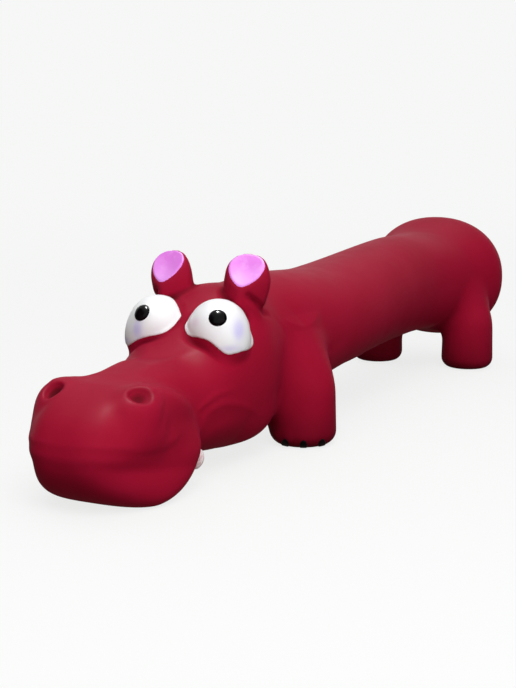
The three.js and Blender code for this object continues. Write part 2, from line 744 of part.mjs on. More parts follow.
const trunkOuter = trunkForm(0, 0, TRUNK_SEGMENTS, TRUNK_RINGS);
const trunkClear = trunkForm(GAP, GAP, TRUNK_SEGMENTS, TRUNK_RINGS);
const trunkLiner = trunkForm(-WALL, 2 * WALL, LINER_SEGMENTS, LINER_RINGS);
const headOuter = headForm(0, 0, HEAD_SEGMENTS, HEAD_RINGS);
const headClear = joined([
  headForm(GAP, 0, HEAD_SEGMENTS, HEAD_RINGS),
  nostrilDome(SIDES.left, GAP),
  nostrilDome(SIDES.right, GAP),
]);
const headLiner = headForm(-WALL, 2 * WALL, LINER_SEGMENTS, LINER_RINGS);
const aheadOfNeck = boxBetween(new THREE.Vector3(-FAR, -FAR, -FAR), new THREE.Vector3(FAR, NECK_Y - GAP, FAR));

const toy = new THREE.Group();
const add = (name, solid, material) => toy.add(toMesh(name, solid, material));

const legBores = Object.values(legPlaces).map((place) => legForm(place, -WALL, SMALL_SEGMENTS));

const collar = atBelly(rod(PORT_RIM_RADIUS, -2 * PORT_POCKET, PORT_COLLAR, ROUND_SEGMENTS)).intersect(trunkOuter);
const pocket = atBelly(rod(FLANGE_RADIUS + GAP, -3 * PORT_POCKET, 0, ROUND_SEGMENTS));
const collarRoom = atBelly(rod(FLANGE_RADIUS + GAP, PORT_THICKNESS, PORT_COLLAR + WALL, ROUND_SEGMENTS));
const portHole = atBelly(rod(BARREL_RADIUS + GAP, -PAST, PORT_THICKNESS + PAST, ROUND_SEGMENTS));
const trunkSkin = cut(cut(trunkOuter, [trunkLiner, ...legBores]).add(collar), [collarRoom, pocket, portHole]);
add('trunk_skin', trunkSkin, latex());

const nostrilDomes = [nostrilDome(SIDES.left, 0), nostrilDome(SIDES.right, 0)];
const nostrilHoles = [nostrilHole(SIDES.left), nostrilHole(SIDES.right)];
const headBlank = joined([headOuter, ...nostrilDomes]).intersect(aheadOfNeck);
const headSkin = cut(headBlank, [headLiner, ...nostrilHoles, belowFloor]);
add('head_skin', headSkin, latex());

for (const [name, place] of Object.entries(legPlaces)) {
  const leg = cut(legForm(place, 0, LEG_SEGMENTS), [legForm(place, -WALL, SMALL_SEGMENTS), trunkClear, headClear]);
  add(`${name}_leg`, leg.subtract(belowFloor), latex());
}

for (const [name, side] of Object.entries(SIDES)) {
  const frame = earFrame(side);
  const ear = earBlank(0).subtract(aheadOfFace(LINING_THICKNESS + GAP));
  add(`${name}_ear`, placed(ear, frame).subtract(headClear), latex());
  const lining = earBlank(0).intersect(aheadOfFace(LINING_THICKNESS)).subtract(aheadOfFace(0));
  add(`${name}_ear_lining`, placed(lining, frame).subtract(headClear), paint(0xf393ee, 0.5));
}

for (const [name, side] of Object.entries(SIDES)) {
  const earClear = placed(earBlank(GAP), earFrame(side));
  add(`${name}_eye`, cut(eyeForm(side, 0), [headClear, earClear]), paint(0xf6f6f8, 0.35));
  add(`${name}_pupil`, pupilForm(side).subtract(eyeForm(side, GAP)), paint(0x070708, 0.15));
  add(`${name}_tooth`, toothForm(side).subtract(headClear), paint(0xf1dfe0, 0.4));
}

for (const name of ['front_left', 'front_right']) {
  const place = legPlaces[name];
  const legClear = legForm(place, GAP, LEG_SEGMENTS);
  for (let i = 0; i < CLAW_COUNT; i += 1) {
    add(`${name}_claw_${i + 1}`, cut(clawForm(place, i), [legClear, belowFloor]), paint(0x0b0709, 0.4));
  }
}

add('tail', tailForm().subtract(trunkClear), latex());

const fillingForms = [
  trunkForm(-WALL - FILLING_GAP, 2 * WALL, LINER_SEGMENTS, LINER_RINGS),
  headForm(-WALL - FILLING_GAP, 0, LINER_SEGMENTS, LINER_RINGS),
  ...Object.values(legPlaces).map((place) => legForm(place, -WALL - FILLING_GAP, SMALL_SEGMENTS)),
];
const rimRoom = atBelly(rod(PORT_RIM_RADIUS + FILLING_GAP, -2 * PORT_POCKET, PORT_COLLAR + FILLING_GAP, ROUND_SEGMENTS));
add('filling', cut(joined(fillingForms), [atBelly(squeakerRoom()), rimRoom]), paint(0xf2f0ea, 0.95));

add('squeaker_barrel', atBelly(squeakerBarrel()), plastic(0xece8de));
add('squeaker_reed_bed', atBelly(reedBed()), plastic(0xd9d5ca));
add('squeaker_reed', atBelly(reed()), plastic(0xf4efe2));
add('squeaker_reed_clamp', atBelly(reedClamp()), plastic(0xd9d5ca));
add('squeaker_cap', atBelly(squeakerCap()), plastic(0xece8de));

export default toy;
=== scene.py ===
"""A latex squeaky dog toy, a long-bodied hippopotamus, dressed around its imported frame."""

import math

import bpy
import numpy as np
from mathutils import Euler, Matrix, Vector


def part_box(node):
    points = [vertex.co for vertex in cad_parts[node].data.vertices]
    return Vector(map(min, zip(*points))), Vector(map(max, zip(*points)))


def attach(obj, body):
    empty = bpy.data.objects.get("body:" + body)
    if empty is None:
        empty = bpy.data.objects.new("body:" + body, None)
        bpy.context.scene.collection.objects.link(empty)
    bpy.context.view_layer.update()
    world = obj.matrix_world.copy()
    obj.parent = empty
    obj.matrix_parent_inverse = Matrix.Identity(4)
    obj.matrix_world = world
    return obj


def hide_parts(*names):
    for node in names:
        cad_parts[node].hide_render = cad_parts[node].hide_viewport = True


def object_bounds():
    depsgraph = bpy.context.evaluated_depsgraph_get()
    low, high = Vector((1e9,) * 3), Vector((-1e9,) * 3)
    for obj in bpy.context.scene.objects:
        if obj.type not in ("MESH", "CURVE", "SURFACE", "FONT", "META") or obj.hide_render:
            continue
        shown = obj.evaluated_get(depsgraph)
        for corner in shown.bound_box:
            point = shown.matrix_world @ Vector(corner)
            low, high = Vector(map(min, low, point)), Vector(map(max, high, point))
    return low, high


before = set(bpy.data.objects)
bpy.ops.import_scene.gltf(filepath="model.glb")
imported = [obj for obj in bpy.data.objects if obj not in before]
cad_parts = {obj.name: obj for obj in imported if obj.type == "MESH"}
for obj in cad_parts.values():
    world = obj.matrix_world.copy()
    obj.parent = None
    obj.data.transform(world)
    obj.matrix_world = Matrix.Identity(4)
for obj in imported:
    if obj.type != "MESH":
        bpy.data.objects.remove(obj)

cad_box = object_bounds()

# Shape of the skin

# The toy's lengths are in millimetres; its meshes are turned into metres when they are made.
MM = 0.001
NOSE_Y, RUMP_Y = (round(corner[1] / MM, 1) for corner in cad_box)
WALL = 2.0
WALL_EDGE = 0.4  # rounding where the hollow meets the outer surface
LEAST_SLOPE = 0.012  # that a field is divided by where it is flat
OVERSHOOT = 1.2  # share of a form's length up to which it goes on changing
RUMP_ROUND = 21.0
BODY = [  # y, half width, top, bottom
    (-104, 10.8, 24.6, 5.0), (-98, 11.6, 27.0, 5.0), (-90, 12.0, 28.3, 5.0), (-79, 14.1, 28.6, 4.9),
    (-66, 16.2, 37.4, 3.4), (-57, 16.9, 41.9, 2.8), (-45, 15.4, 41.8, 7.0), (-28, 16.5, 42.5, 8.8),
    (2, 17.4, 41.3, 12.4), (59, 15.2, 45.2, 13.8), (85.5, 18.7, 45.2, 12.6), (105.5, 23.7, 49.5, 8.4),
]
BODY_SQUARENESS = [(-57, 2.35), (-40, 2.15)]  # y, exponent of the section
MUZZLE_LENGTH = 36.4
MUZZLE_TOP = 26.2
MUZZLE_WIDTH = [(0, 15.8), (5, 15.1), (9.6, 14.0), (14, 14.7), (19, 14.4)]  # height, half width
MUZZLE_FLARE = 0.17  # share by which its rear is wider, and its front narrower
MUZZLE_SINK = 0.5  # how far it goes on under the floor
MUZZLE_FRONT = 3.2  # exponent of the curve round its front, seen from above
MUZZLE_REAR = 5.2  # the same at its rear
MUZZLE_SIDE = 1.85  # exponent of its outline seen from the side
MUZZLE_SECTION = 5.8  # exponent of its section across
MUZZLE_LIPS = (0.8, 9.8, 2.6, -0.6)  # swelling: how far out, height, reach, and where along it starts
MUZZLE_TUCK = (-2.6, 16.0, 5.0, 0.15)  # the tuck of its rear edge, in the same terms
JOWL = (9.0, -55.5, 12.0)  # middle of the fullness low in the cheek
JOWL_RADII = (5.9, 9.6, 6.6)
NOSTRIL = (10.3, -105.1, 20.3, 4.7)  # middle and radius of the dome round a nostril
LEG_RADIUS = 8.6
LEG_STRAIGHT = 13.0  # height up to which a leg is upright
LEG_LEAN = 4.5  # how far its top leans in
LEG_NARROWING = 2.6  # how much thinner its top is
ANKLE_HEIGHT = 14.0
ANKLE_NARROWING = 0.35
SOLE_ROUND = 3.6
LEG_PAIRS = [(14.8, -35.0, 27.0), (16.2, 89.7, 29.0)]  # place across, y, top
LEGS = [(side, *pair) for pair in LEG_PAIRS for side in (1, -1)]
EYE = (8.25, -67.4, 33.3, 7.0)  # centre and radius
EYE_BAG = (10.6, -68.2, 29.6, 5.2)  # the swelling under and outside it
EAR = (10.15, -57.7, 35.0)  # foot of its axis, inside the head
EAR_HEIGHT = 15.5
EAR_TURN = 7.0
EAR_LEAN = 3.0
EAR_FACE_LEAN = 37.5
EAR_FACE_FOOT = (-4.3, 7.6)  # depth and height at which the cut face starts
# height, half width, half depth
EAR_STATIONS = [(0, 4.7, 4.2), (4, 5.3, 4.3), (9, 6.1, 4.4), (15.5, 6.1, 4.5)]
EAR_FRONT = 1.5  # exponent of its section in front, which makes a keel
EAR_BACK = 2.3  # the same behind
EAR_TIP = (3.0, 3.4, 3.2)  # exponents of section, height and their sum, which round the tip
EAR_ROOT_SHIFT = 0.9  # of the root towards the other ear
EAR_ROOT_HEIGHT = 9.0  # at which that shift has faded out
EAR_CUP_DEPTH = 0.5
EAR_CUP_HEIGHT = 11.2
EAR_CUP_REACH = (3.2, 2.8)  # across and up
EAR_EDGE = 0.6  # rounding of the edge round the cut face
EAR_RIM = 0.25  # width of the unpainted rim round the ear's face
TAIL = (0.0, 115.8, 41.0, 2.1, 5.5)  # middle, radius and half length
TAIL_SLOPE = 35.0
SIDES = {"left": 1, "right": -1}
NOSTRIL_HOLLOWS = [  # middle, radii and turn in degrees of each nostril's hollow
    ((12.1, -106.8, 25.7), (3.1, 2.7, 2.2), 12.1),
    ((-9.3, -108.9, 25.0), (2.1, 2.7, 2.2), -9.3),
]
NOSTRIL_SLOPE = 35.0
NOSTRIL_EDGE = 0.8
NOSTRIL_STRETCH = 1.15  # how much longer and higher than wide the dome is
FILLETS = {  # size of the fillet where a form joins the rest
    "muzzle": 2.0, "nostril": 3.0, "jowl": 3.0, "front_leg": 8.0, "hind_leg": 5.0,
    "eye_bag": 3.0, "eye": 1.2, "ear": 1.2, "tail": 1.5,
}

# Boxes in which the forms are joined on: lowest and highest corner, a little past the form.
MUZZLE_BOX = ((-40, -130, -9), (40, -70, 40))
JOWL_BOX = ((-24, -76, -2), (24, -36, 28))
LEG_BOX = ((-32, -20, -9), (32, 20, 6))  # y counts from the leg's middle, the upper z from its top
NOSTRIL_BOX = ((-22, -118, 8), (22, -90, 36))
HOLLOW_BOX = 6.0  # to every side of the hollow's middle
EYE_BOX = ((-24, -80, 16), (24, -46, 48))
EAR_BOX = ((-24, -72, 26), (24, -40, 56))
TAIL_BOX = ((-8, 104, 28), (8, 128, 54))
SKIN_BOX = ((-28, -123, -3), (28, 124, 54))  # of the whole skin's grid
FINE_END = -26  # y up to which that grid is fine

EAR_FOLD = [  # points along the fold under the ear
    (12.6, -60.8, 40.8), (13.1, -60.0, 40.0), (13.8, -59.0, 38.9), (14.3, -57.6, 37.6),
    (14.2, -55.4, 36.6), (13.6, -52.2, 35.4),
]

# Creases in the latex, each also on the other side: depth, or height where negative, reach to each
# side, and points along it.
MARKS = [
    # upper lip: a groove under a low ridge
    (0.12, 0.9, [
        (0, -119.8, 14.2), (6.9, -118.7, 14.5), (11.4, -114.5, 13.9), (13.7, -107.8, 12.8),
        (14.6, -101, 12.7), (15.6, -95, 13.9),
    ]),
    (-0.16, 0.8, [
        (0, -119.8, 15.7), (6.9, -118.7, 15.9), (11.4, -114.5, 15.3), (13.7, -107.8, 14.2),
        (14.6, -101, 14.1), (15.6, -95, 15.4),
    ]),
    # slit of the mouth
    (0.16, 1.2, [
        (0, -119.6, 10.6), (7.4, -118.7, 11.4), (12, -111.7, 9.8), (13.6, -104.7, 8.6),
        (14.4, -99.9, 8.1), (15.2, -93, 7.4),
    ]),
    # dents in the muzzle's side
    (0.25, 1.9, [(9.2, -112.6, 22.6), (9.4, -113.6, 19.6)]),
    (0.26, 1.3, [
        (14.6, -101.0, 22.8), (14.7, -102.8, 21.0), (14.6, -104.6, 18.8), (14.2, -106.4, 17.0),
    ]),
    # edge of the cheek behind the muzzle
    (-0.30, 0.6, [
        (15.9, -90.9, 13.4), (15.6, -90.3, 16.6), (13.4, -84.5, 18.2), (13.7, -79.5, 19.9),
        (14.3, -76.6, 20.4), (14.8, -72, 20.6),
    ]),
    # filling under the nostril's dome
    (-1.0, 3.6, [(12.6, -111.6, 16.4), (14.2, -107.6, 15.4), (14.8, -103.6, 14.4)]),
    # lobe in the cheek: an arch, and the hollow under it
    (-0.22, 0.8, [
        (13.1, -82.9, 13.3), (13.4, -82.5, 16), (13.9, -79.8, 17.2), (14.6, -75.9, 17.7),
        (15.5, -70.3, 16.5), (15.7, -64.7, 14.2), (15, -59.3, 11.3),
    ]),
    (0.25, 1.8, [(13.6, -80.4, 13.6), (14.8, -75.5, 14.6), (15.6, -70, 13.2)]),
    # neck: a thin crease in front of a broad one
    (0.14, 0.7, [
        (13.6, -50, 34.6), (14.6, -45.8, 30.7), (15.2, -43.6, 27.9), (15.8, -42.6, 25.3),
        (16.3, -42.5, 22.6),
    ]),
    (-0.12, 0.7, [
        (13.2, -48, 34.8), (14.4, -44.2, 30.9), (15.2, -42.1, 27.9), (15.9, -41.2, 25.3),
        (16.3, -41.1, 22.6),
    ]),
    (0.16, 1.6, [(12, -39.8, 36.8), (13.7, -37.7, 34.1), (15.5, -36, 30.2), (16.6, -36.8, 26.8)]),
    (0.14, 1.4, [(17, -36.8, 25.4), (17.4, -30, 23.4), (17, -21.7, 22.8), (17.1, -14, 24.2)]),
    # ridge from the nostril to the eye
    (-0.30, 1.6, [
        (9.5, -103, 26.6), (4.6, -96, 27.3), (3.9, -90, 27.8), (4.1, -82, 28.0),
        (6.2, -76.6, 28.6), (9.4, -74.6, 28.2),
    ]),
    # crease under the eye
    (0.18, 0.8, [
        (1.6, -73.4, 31.6), (3.4, -74, 31.2), (6.1, -74.4, 30.6), (8.8, -74.6, 29.7),
        (10.8, -74.6, 28.2), (12.4, -73.8, 26.4), (14.3, -71.6, 25.6), (16, -67.9, 26.4),
    ]),
    # hollow beside the ear's root, and the fold under it
    (0.6, 1.6, [(16.2, -59.4, 37.4), (16.7, -56.8, 36.8), (16.5, -54.0, 36.4)]),
    (1.3, 0.8, EAR_FOLD),
]
BUMP_PLACES = [-3.8, 0.4, 4.6, 8.8]  # of bumps across a front foot, between its nails
BUMP_MIDDLE = 0.5  # place that lies straight ahead
BUMP_AHEAD = 8.4  # distance ahead of the leg's middle at which the places are measured
BUMP_ROUND = 8.3  # radius of the foot at the bumps
BUMP_HEIGHTS = (1.6, 3.6)  # their lower and upper ends
BUMP_DEPTH = -0.22
BUMP_REACH = 1.1


class Grid:
    """A box of sample points, evenly or unevenly spaced."""

    def __init__(self, x, y, z):
        self.axes = [np.asarray(a, np.float32) for a in (x, y, z)]

    def coordinates(self):
        x, y, z = self.axes
        return x[:, None, None], y[None, :, None], z[None, None, :]

    def window(self, low, high):
        slices = []
        for axis, a, b in zip(self.axes, low, high):
            start = max(0, int(np.searchsorted(axis, a)) - 1)
            stop = min(len(axis), int(np.searchsorted(axis, b)) + 1)
            slices.append(slice(start, max(stop, start)))
        return tuple(slices)

    def part(self, window):
        return Grid(*(axis[s] for axis, s in zip(self.axes, window)))


def curve(rows, column=1):
    """A smooth curve, level at both ends, from places in the first column to values in another."""
    places = np.array([row[0] for row in rows], np.float32)
    values = np.array([row[column] for row in rows], np.float32)
    slopes = np.zeros_like(values)
    slopes[1:-1] = (values[2:] - values[:-2]) / (places[2:] - places[:-2])

    def at(place):
        place = np.clip(place, places[0], places[-1])
        i = np.clip(np.searchsorted(places, place, side="right") - 1, 0, len(places) - 2)
        span = places[i + 1] - places[i]
        t = (place - places[i]) / span
        rise = values[i + 1] - values[i]
        start, end = slopes[i] * span, slopes[i + 1] * span
        return values[i] + t * (start + t * (3 * rise - 2 * start - end + t * (start + end - 2 * rise)))

    return at


def distance(q, grid):
    """Turns a field that is 1 on a surface into roughly the distance from that surface."""
    gradient = np.gradient(q, *grid.axes)
    steepness = np.sqrt(gradient[0] ** 2 + gradient[1] ** 2 + gradient[2] ** 2)
    return (q - 1) / np.maximum(steepness, LEAST_SLOPE)


def join(a, b, soft):
    """Union of two fields with a fillet of about that size."""
    t = np.clip(0.5 + 0.5 * (b - a) / soft, 0, 1)
    return b + (a - b) * t - soft * t * (1 - t)


def carve(a, b, soft):
    """What is left of a where b is taken out."""
    return -join(-a, b, soft)


def common(a, b, soft):
    """What two fields share."""
    return -join(-a, -b, soft)


def turned_axes(turn=0.0, lean=0.0, tip=0.0):
    """Axes turned about Z, leaned about Y and tipped about X, in degrees, as columns."""
    return np.array(Euler((math.radians(tip), math.radians(lean), math.radians(turn)), "XYZ").to_matrix())


def local(grid, centre, axes=None):
    """A grid's coordinates from a centre, along given axes or the grid's own."""
    x, y, z = grid.coordinates()
    dx, dy, dz = x - centre[0], y - centre[1], z - centre[2]
    if axes is None:
        return dx, dy, dz
    return [axes[0, i] * dx + axes[1, i] * dy + axes[2, i] * dz for i in range(3)]


def egg(grid, centre, radii, axes=None):
    """An ellipsoid."""
    u, v, w = ((part / radius) ** 2 for part, radius in zip(local(grid, centre, axes), radii))
    return distance(np.sqrt(u + v + w), grid)


def mirrored(place, side):
    """A place that is given for the left side, on either side."""
    return side * place[0], place[1], place[2]


def body_form(grid):
    """Head and trunk in one form along Y, rounded at the rump; its sections are superellipses."""
    x, y, z = grid.coordinates()
    half, top, bottom = (curve(BODY, column)(y) for column in (1, 2, 3))
    exponent = curve(BODY_SQUARENESS)(y)
    u = np.abs(x / half)
    v = np.abs((z - (top + bottom) / 2) / ((top - bottom) / 2))
    section = (u**exponent + v**exponent) ** (1 / exponent)
    reach = np.maximum(0, (y - RUMP_Y + RUMP_ROUND) / RUMP_ROUND)
    field = distance((section**exponent + reach**exponent) ** (1 / exponent), grid)
    return np.maximum(field, BODY[0][0] - y)


def swelling(z, w, amount, height, reach, start):
    """Extra width round one height of the muzzle, from one place along it to its rear."""
    return amount * np.exp(-(((z - height) / reach) ** 2)) * np.clip(w - start, 0, 1)


def muzzle(grid):
    """The muzzle: rounded in front, squarer and wider behind, and pinched at the mouth."""
    x, y, z = grid.coordinates()
    half_length = MUZZLE_LENGTH / 2
    half_height = (MUZZLE_TOP + MUZZLE_SINK) / 2
    w = (y - NOSE_Y - half_length) / half_length
    v = np.clip(np.abs(z - MUZZLE_TOP + half_height) / half_height, 0, 3)
    n = np.where(w < 0, MUZZLE_FRONT, MUZZLE_REAR)
    side = (v**MUZZLE_SIDE + np.abs(w) ** MUZZLE_SIDE) ** (1 / MUZZLE_SIDE)
    inner = np.clip(v, 0, 0.97)  # short of 1, where the quotient below has no value
    squarer = (1 - inner**n) ** (1 / n) / (1 - inner**MUZZLE_SECTION) ** (1 / MUZZLE_SECTION)
    width = curve(MUZZLE_WIDTH)(z) + swelling(z, w, *MUZZLE_LIPS)
    width = width + swelling(z, w, *MUZZLE_TUCK)
    u = np.abs(x) / (width * (1 + MUZZLE_FLARE * np.clip(w, -OVERSHOOT, OVERSHOOT))) * squarer
    return distance((u**n + side**n) ** (1 / n), grid)


def leg(grid, side, across, y, top):
    """A stout leg with a rounded sole that leans in and narrows towards its top."""
    dx, dy, z = local(grid, (0, y, 0))
    rise = np.clip((z - LEG_STRAIGHT) / (top - LEG_STRAIGHT), 0, OVERSHOOT)
    radius = LEG_RADIUS - ANKLE_NARROWING * np.clip(z / ANKLE_HEIGHT, 0, 1) - LEG_NARROWING * rise**2
    wall = np.sqrt((dx - side * (across - LEG_LEAN * rise**2)) ** 2 + dy**2) - radius
    floor = -z + 0 * wall
    a, b = wall + SOLE_ROUND, floor + SOLE_ROUND
    foot = np.minimum(np.maximum(a, b), 0) + np.sqrt(np.maximum(a, 0) ** 2 + np.maximum(b, 0) ** 2)
    return np.maximum(foot - SOLE_ROUND, z - top)


def ear_frame(side):
    """Foot and axes of an ear: across, from front to back, and up."""
    return mirrored(EAR, side), turned_axes(turn=side * EAR_TURN, lean=side * EAR_LEAN)


def ear_blank(grid, side):
    """An upright form with a soft keel in front, rounded behind and at its tip."""
    centre, axes = ear_frame(side)
    u, v, w = local(grid, centre, axes)
    u = u + side * EAR_ROOT_SHIFT * np.clip(1 - w / EAR_ROOT_HEIGHT, 0, 1)
    across, deep = (curve(EAR_STATIONS, column)(w) for column in (1, 2))
    exponent = np.where(v < 0, EAR_FRONT, EAR_BACK)
    section = (np.abs(u / across) ** exponent + np.abs(v / deep) ** exponent) ** (1 / exponent)
    section_power, height_power, power = EAR_TIP
    q = (section**section_power + np.clip(w / EAR_HEIGHT, 0, 3) ** height_power) ** (1 / power)
    return distance(q, grid)


def ear_front(grid, side):
    """What is cut off the blank to make the ear's slanting, slightly cupped face."""
    centre, axes = ear_frame(side)
    u, v, w = local(grid, centre, axes)
    lean = math.radians(EAR_FACE_LEAN)
    plane = (v - EAR_FACE_FOOT[0]) * math.cos(lean) - (w - EAR_FACE_FOOT[1]) * math.sin(lean)
    reach_across, reach_up = EAR_CUP_REACH
    hollow = EAR_CUP_DEPTH * np.exp(-((u / reach_across) ** 2 + ((w - EAR_CUP_HEIGHT) / reach_up) ** 2))
    return plane - hollow


def ear(grid, side):
    return carve(ear_blank(grid, side), ear_front(grid, side), EAR_EDGE)


def change(field, grid, box, make):
    """Changes the field inside a box that holds enough samples for slopes to be worked out."""
    window = grid.window(*box)
    if all(s.stop - s.start >= 3 for s in window):
        field[window] = make(field[window], grid.part(window))


def merge(field, grid, box, make, fillet):
    """Joins a form to the field inside a box of it."""
    change(field, grid, box, lambda f, g: join(f, make(g), FILLETS[fillet]))


def eye(grid, side):
    """An eyeball with a swelling under it."""
    ball, bag = (egg(grid, mirrored(form, side), (form[3],) * 3) for form in (EYE, EYE_BAG))
    return join(ball, bag, FILLETS["eye_bag"])


def smooth_line(points, closed, steps=5):
    """Points of a smooth curve through an outline's or a line's points."""
    p = np.array(points, float)
    if closed:
        before, after, last = np.roll(p, 1, 0), np.roll(p, -1, 0), np.roll(p, -2, 0)
    else:
        p = np.concatenate([p[:1], p, p[-1:]])
        before, after, last = p[:-3], p[2:-1], p[3:]
        p = p[1:-2]
    result = []
    for a, b, c, d in zip(before, p, after, last):
        for t in np.arange(steps) / steps:
            square = (2 * a - 5 * b + 4 * c - d) * t**2
            cube = (3 * b - a - 3 * c + d) * t**3
            result.append(0.5 * (2 * b + (c - a) * t + square + cube))
    if not closed:
        result.append(after[-1])
    return np.array(result)


def press(field, grid, depth, reach, points):
    """Presses a line into the field, or raises it, fading towards its ends."""
    line = smooth_line(points, closed=False, steps=3)

    def pressed(f, g):
        x, y, z = g.coordinates()
        mark = np.zeros(f.shape, np.float32)
        for k, (a, b) in enumerate(zip(line, line[1:])):
            along = b - a
            share = (x - a[0]) * along[0] + (y - a[1]) * along[1] + (z - a[2]) * along[2]
            t = np.clip(share / (along @ along), 0, 1)
            gap = sum((place - start - t * step) ** 2 for place, start, step in zip((x, y, z), a, along))
            fade = np.sqrt(np.sin(math.pi * (k + 0.5) / (len(line) - 1)))
            mark = np.maximum(mark, fade * np.exp(-gap / reach**2))
        return f + depth * mark

    change(field, grid, (line.min(0) - 3 * reach, line.max(0) + 3 * reach), pressed)


def base_field(grid):
    """Trunk, head, muzzle and legs, which are hollow."""
    field = body_form(grid)
    merge(field, grid, MUZZLE_BOX, muzzle, "muzzle")
    for side in SIDES.values():
        merge(field, grid, JOWL_BOX, lambda g: egg(g, mirrored(JOWL, side), JOWL_RADII), "jowl")
    low, high = LEG_BOX
    for side, across, y, top in LEGS:
        box = ((low[0], y + low[1], low[2]), (high[0], y + high[1], top + high[2]))
        end = "front_leg" if y < 0 else "hind_leg"
        merge(field, grid, box, lambda g: leg(g, side, across, y, top), end)
    return field


def bald_field(grid):
    """The outer surface without ears, tail, nostrils' hollows and marks."""
    field = base_field(grid)
    radius = NOSTRIL[3]
    dome = (radius, NOSTRIL_STRETCH * radius, NOSTRIL_STRETCH * radius)
    for side in SIDES.values():
        merge(field, grid, NOSTRIL_BOX, lambda g: egg(g, mirrored(NOSTRIL, side), dome), "nostril")
        merge(field, grid, EYE_BOX, lambda g: eye(g, side), "eye")
    return field


def tail(grid):
    return egg(grid, TAIL[:3], (TAIL[3], TAIL[3], TAIL[4]), turned_axes(tip=TAIL_SLOPE))


def foot_bump(side, place):
    """Lower and upper end of one bump on the round front of a front foot."""
    across, y, _ = LEG_PAIRS[0]
    angle = math.atan2(place - BUMP_MIDDLE, BUMP_AHEAD)
    x = side * (across + BUMP_ROUND * math.sin(angle))
    return [(x, y - BUMP_ROUND * math.cos(angle), z) for z in BUMP_HEIGHTS]


def skin_field(grid):
    """The toy's whole outer surface as one field, negative inside."""
    field = bald_field(grid)
    for place, radii, turn in NOSTRIL_HOLLOWS:
        axes = turned_axes(turn=turn, tip=NOSTRIL_SLOPE)
        box = (np.array(place) - HOLLOW_BOX, np.array(place) + HOLLOW_BOX)
        change(field, grid, box, lambda f, g: carve(f, egg(g, place, radii, axes), NOSTRIL_EDGE))
    for side in SIDES.values():
        merge(field, grid, EAR_BOX, lambda g: ear(g, side), "ear")
    merge(field, grid, TAIL_BOX, tail, "tail")
    for side in SIDES.values():
        for depth, reach, points in MARKS:
            press(field, grid, depth, reach, np.array(points) * (side, 1, 1))
        for place in BUMP_PLACES:
            press(field, grid, BUMP_DEPTH, BUMP_REACH, foot_bump(side, place))
    return np.maximum(field, -grid.coordinates()[2])


def even_axis(low, high, step):
    """Even places from a lower end to an upper one, or a little past it."""
    return np.arange(low, high + step, step)


def box_grid(low, high, step):
    return Grid(*(even_axis(a, b, step) for a, b in zip(low, high)))


def skin_grid(fine=0.45, coarse=0.9, cross=0.5):
    """Fine along the head, coarser along the trunk."""
    (x0, y0, z0), (x1, y1, z1) = SKIN_BOX
    y = np.concatenate([even_axis(y0, FINE_END, fine)[:-1], even_axis(FINE_END, y1, coarse)])
    return Grid(even_axis(x0, x1, cross), y, even_axis(z0, z1, cross))


def surface_net(field, grid):
    """Quads of the surface where the field changes sign, with a point in each cell that it crosses."""
    inside = field < 0
    shape = np.array(field.shape) - 1
    corners = list(np.ndindex(2, 2, 2))

    def shifted(values, c):
        return values[c[0] : shape[0] + c[0], c[1] : shape[1] + c[1], c[2] : shape[2] + c[2]]

    some = np.zeros(shape, bool)
    every = np.ones(shape, bool)
    for c in corners:
        some |= shifted(inside, c)
        every &= shifted(inside, c)
    cells = np.argwhere(some & ~every)
    number = -np.ones(shape, np.int64)
    number[tuple(cells.T)] = np.arange(len(cells))
    total = np.zeros((len(cells), 3))
    count = np.zeros(len(cells))
    value = {c: field[tuple((cells + c).T)].astype(float) for c in corners}
    for a in corners:
        for axis in range(3):
            if a[axis]:
                continue
            b = tuple(1 if i == axis else a[i] for i in range(3))
            crossed = np.flatnonzero((value[a] < 0) != (value[b] < 0))
            point = np.tile(np.array(a, float), (len(crossed), 1))
            point[:, axis] += value[a][crossed] / (value[a] - value[b])[crossed]
            total[crossed] += point
            count[crossed] += 1
    offset = total / count[:, None]
    points = np.empty_like(offset)
    for axis in range(3):
        places = grid.axes[axis].astype(float)
        i = cells[:, axis]
        points[:, axis] = places[i] + offset[:, axis] * (places[i + 1] - places[i])
    quads = []
    for axis in range(3):
        u, v = (axis + 1) % 3, (axis + 2) % 3
        edges = np.argwhere(np.diff(inside, axis=axis))
        safe = (edges[:, u] > 0) & (edges[:, v] > 0)
        safe &= (edges[:, u] < field.shape[u] - 1) & (edges[:, v] < field.shape[v] - 1)
        edges = edges[safe]
        leaving = inside[tuple(edges.T)]
        ring = []
        for du, dv in ((-1, -1), (0, -1), (0, 0), (-1, 0)):
            cell = edges.copy()
            cell[:, u] += du
            cell[:, v] += dv
            ring.append(number[tuple(cell.T)])
        ring = np.stack(ring, 1)
        ring[~leaving] = ring[~leaving][:, ::-1]
        quads.append(ring)
    return points, np.concatenate(quads)


# Meshes

collection = bpy.context.scene.collection


def smoothed(points, quads, rounds, inward=0.5, outward=-0.53):
    """Evens the mesh out without shrinking it."""
    pairs = np.concatenate([quads[:, [i, (i + 1) % 4]] for i in range(4)])
    start, end = pairs[:, 0], pairs[:, 1]
    count = np.bincount(start, minlength=len(points)) + np.bincount(end, minlength=len(points))
    count = np.maximum(count, 1)[:, None]
    for _ in range(rounds):
        for step in (inward, outward):
            mean = np.empty_like(points)
            for axis in range(3):
                mean[:, axis] = np.bincount(start, points[end, axis], len(points))
                mean[:, axis] += np.bincount(end, points[start, axis], len(points))
            points = points + step * (mean / count - points)
    return points


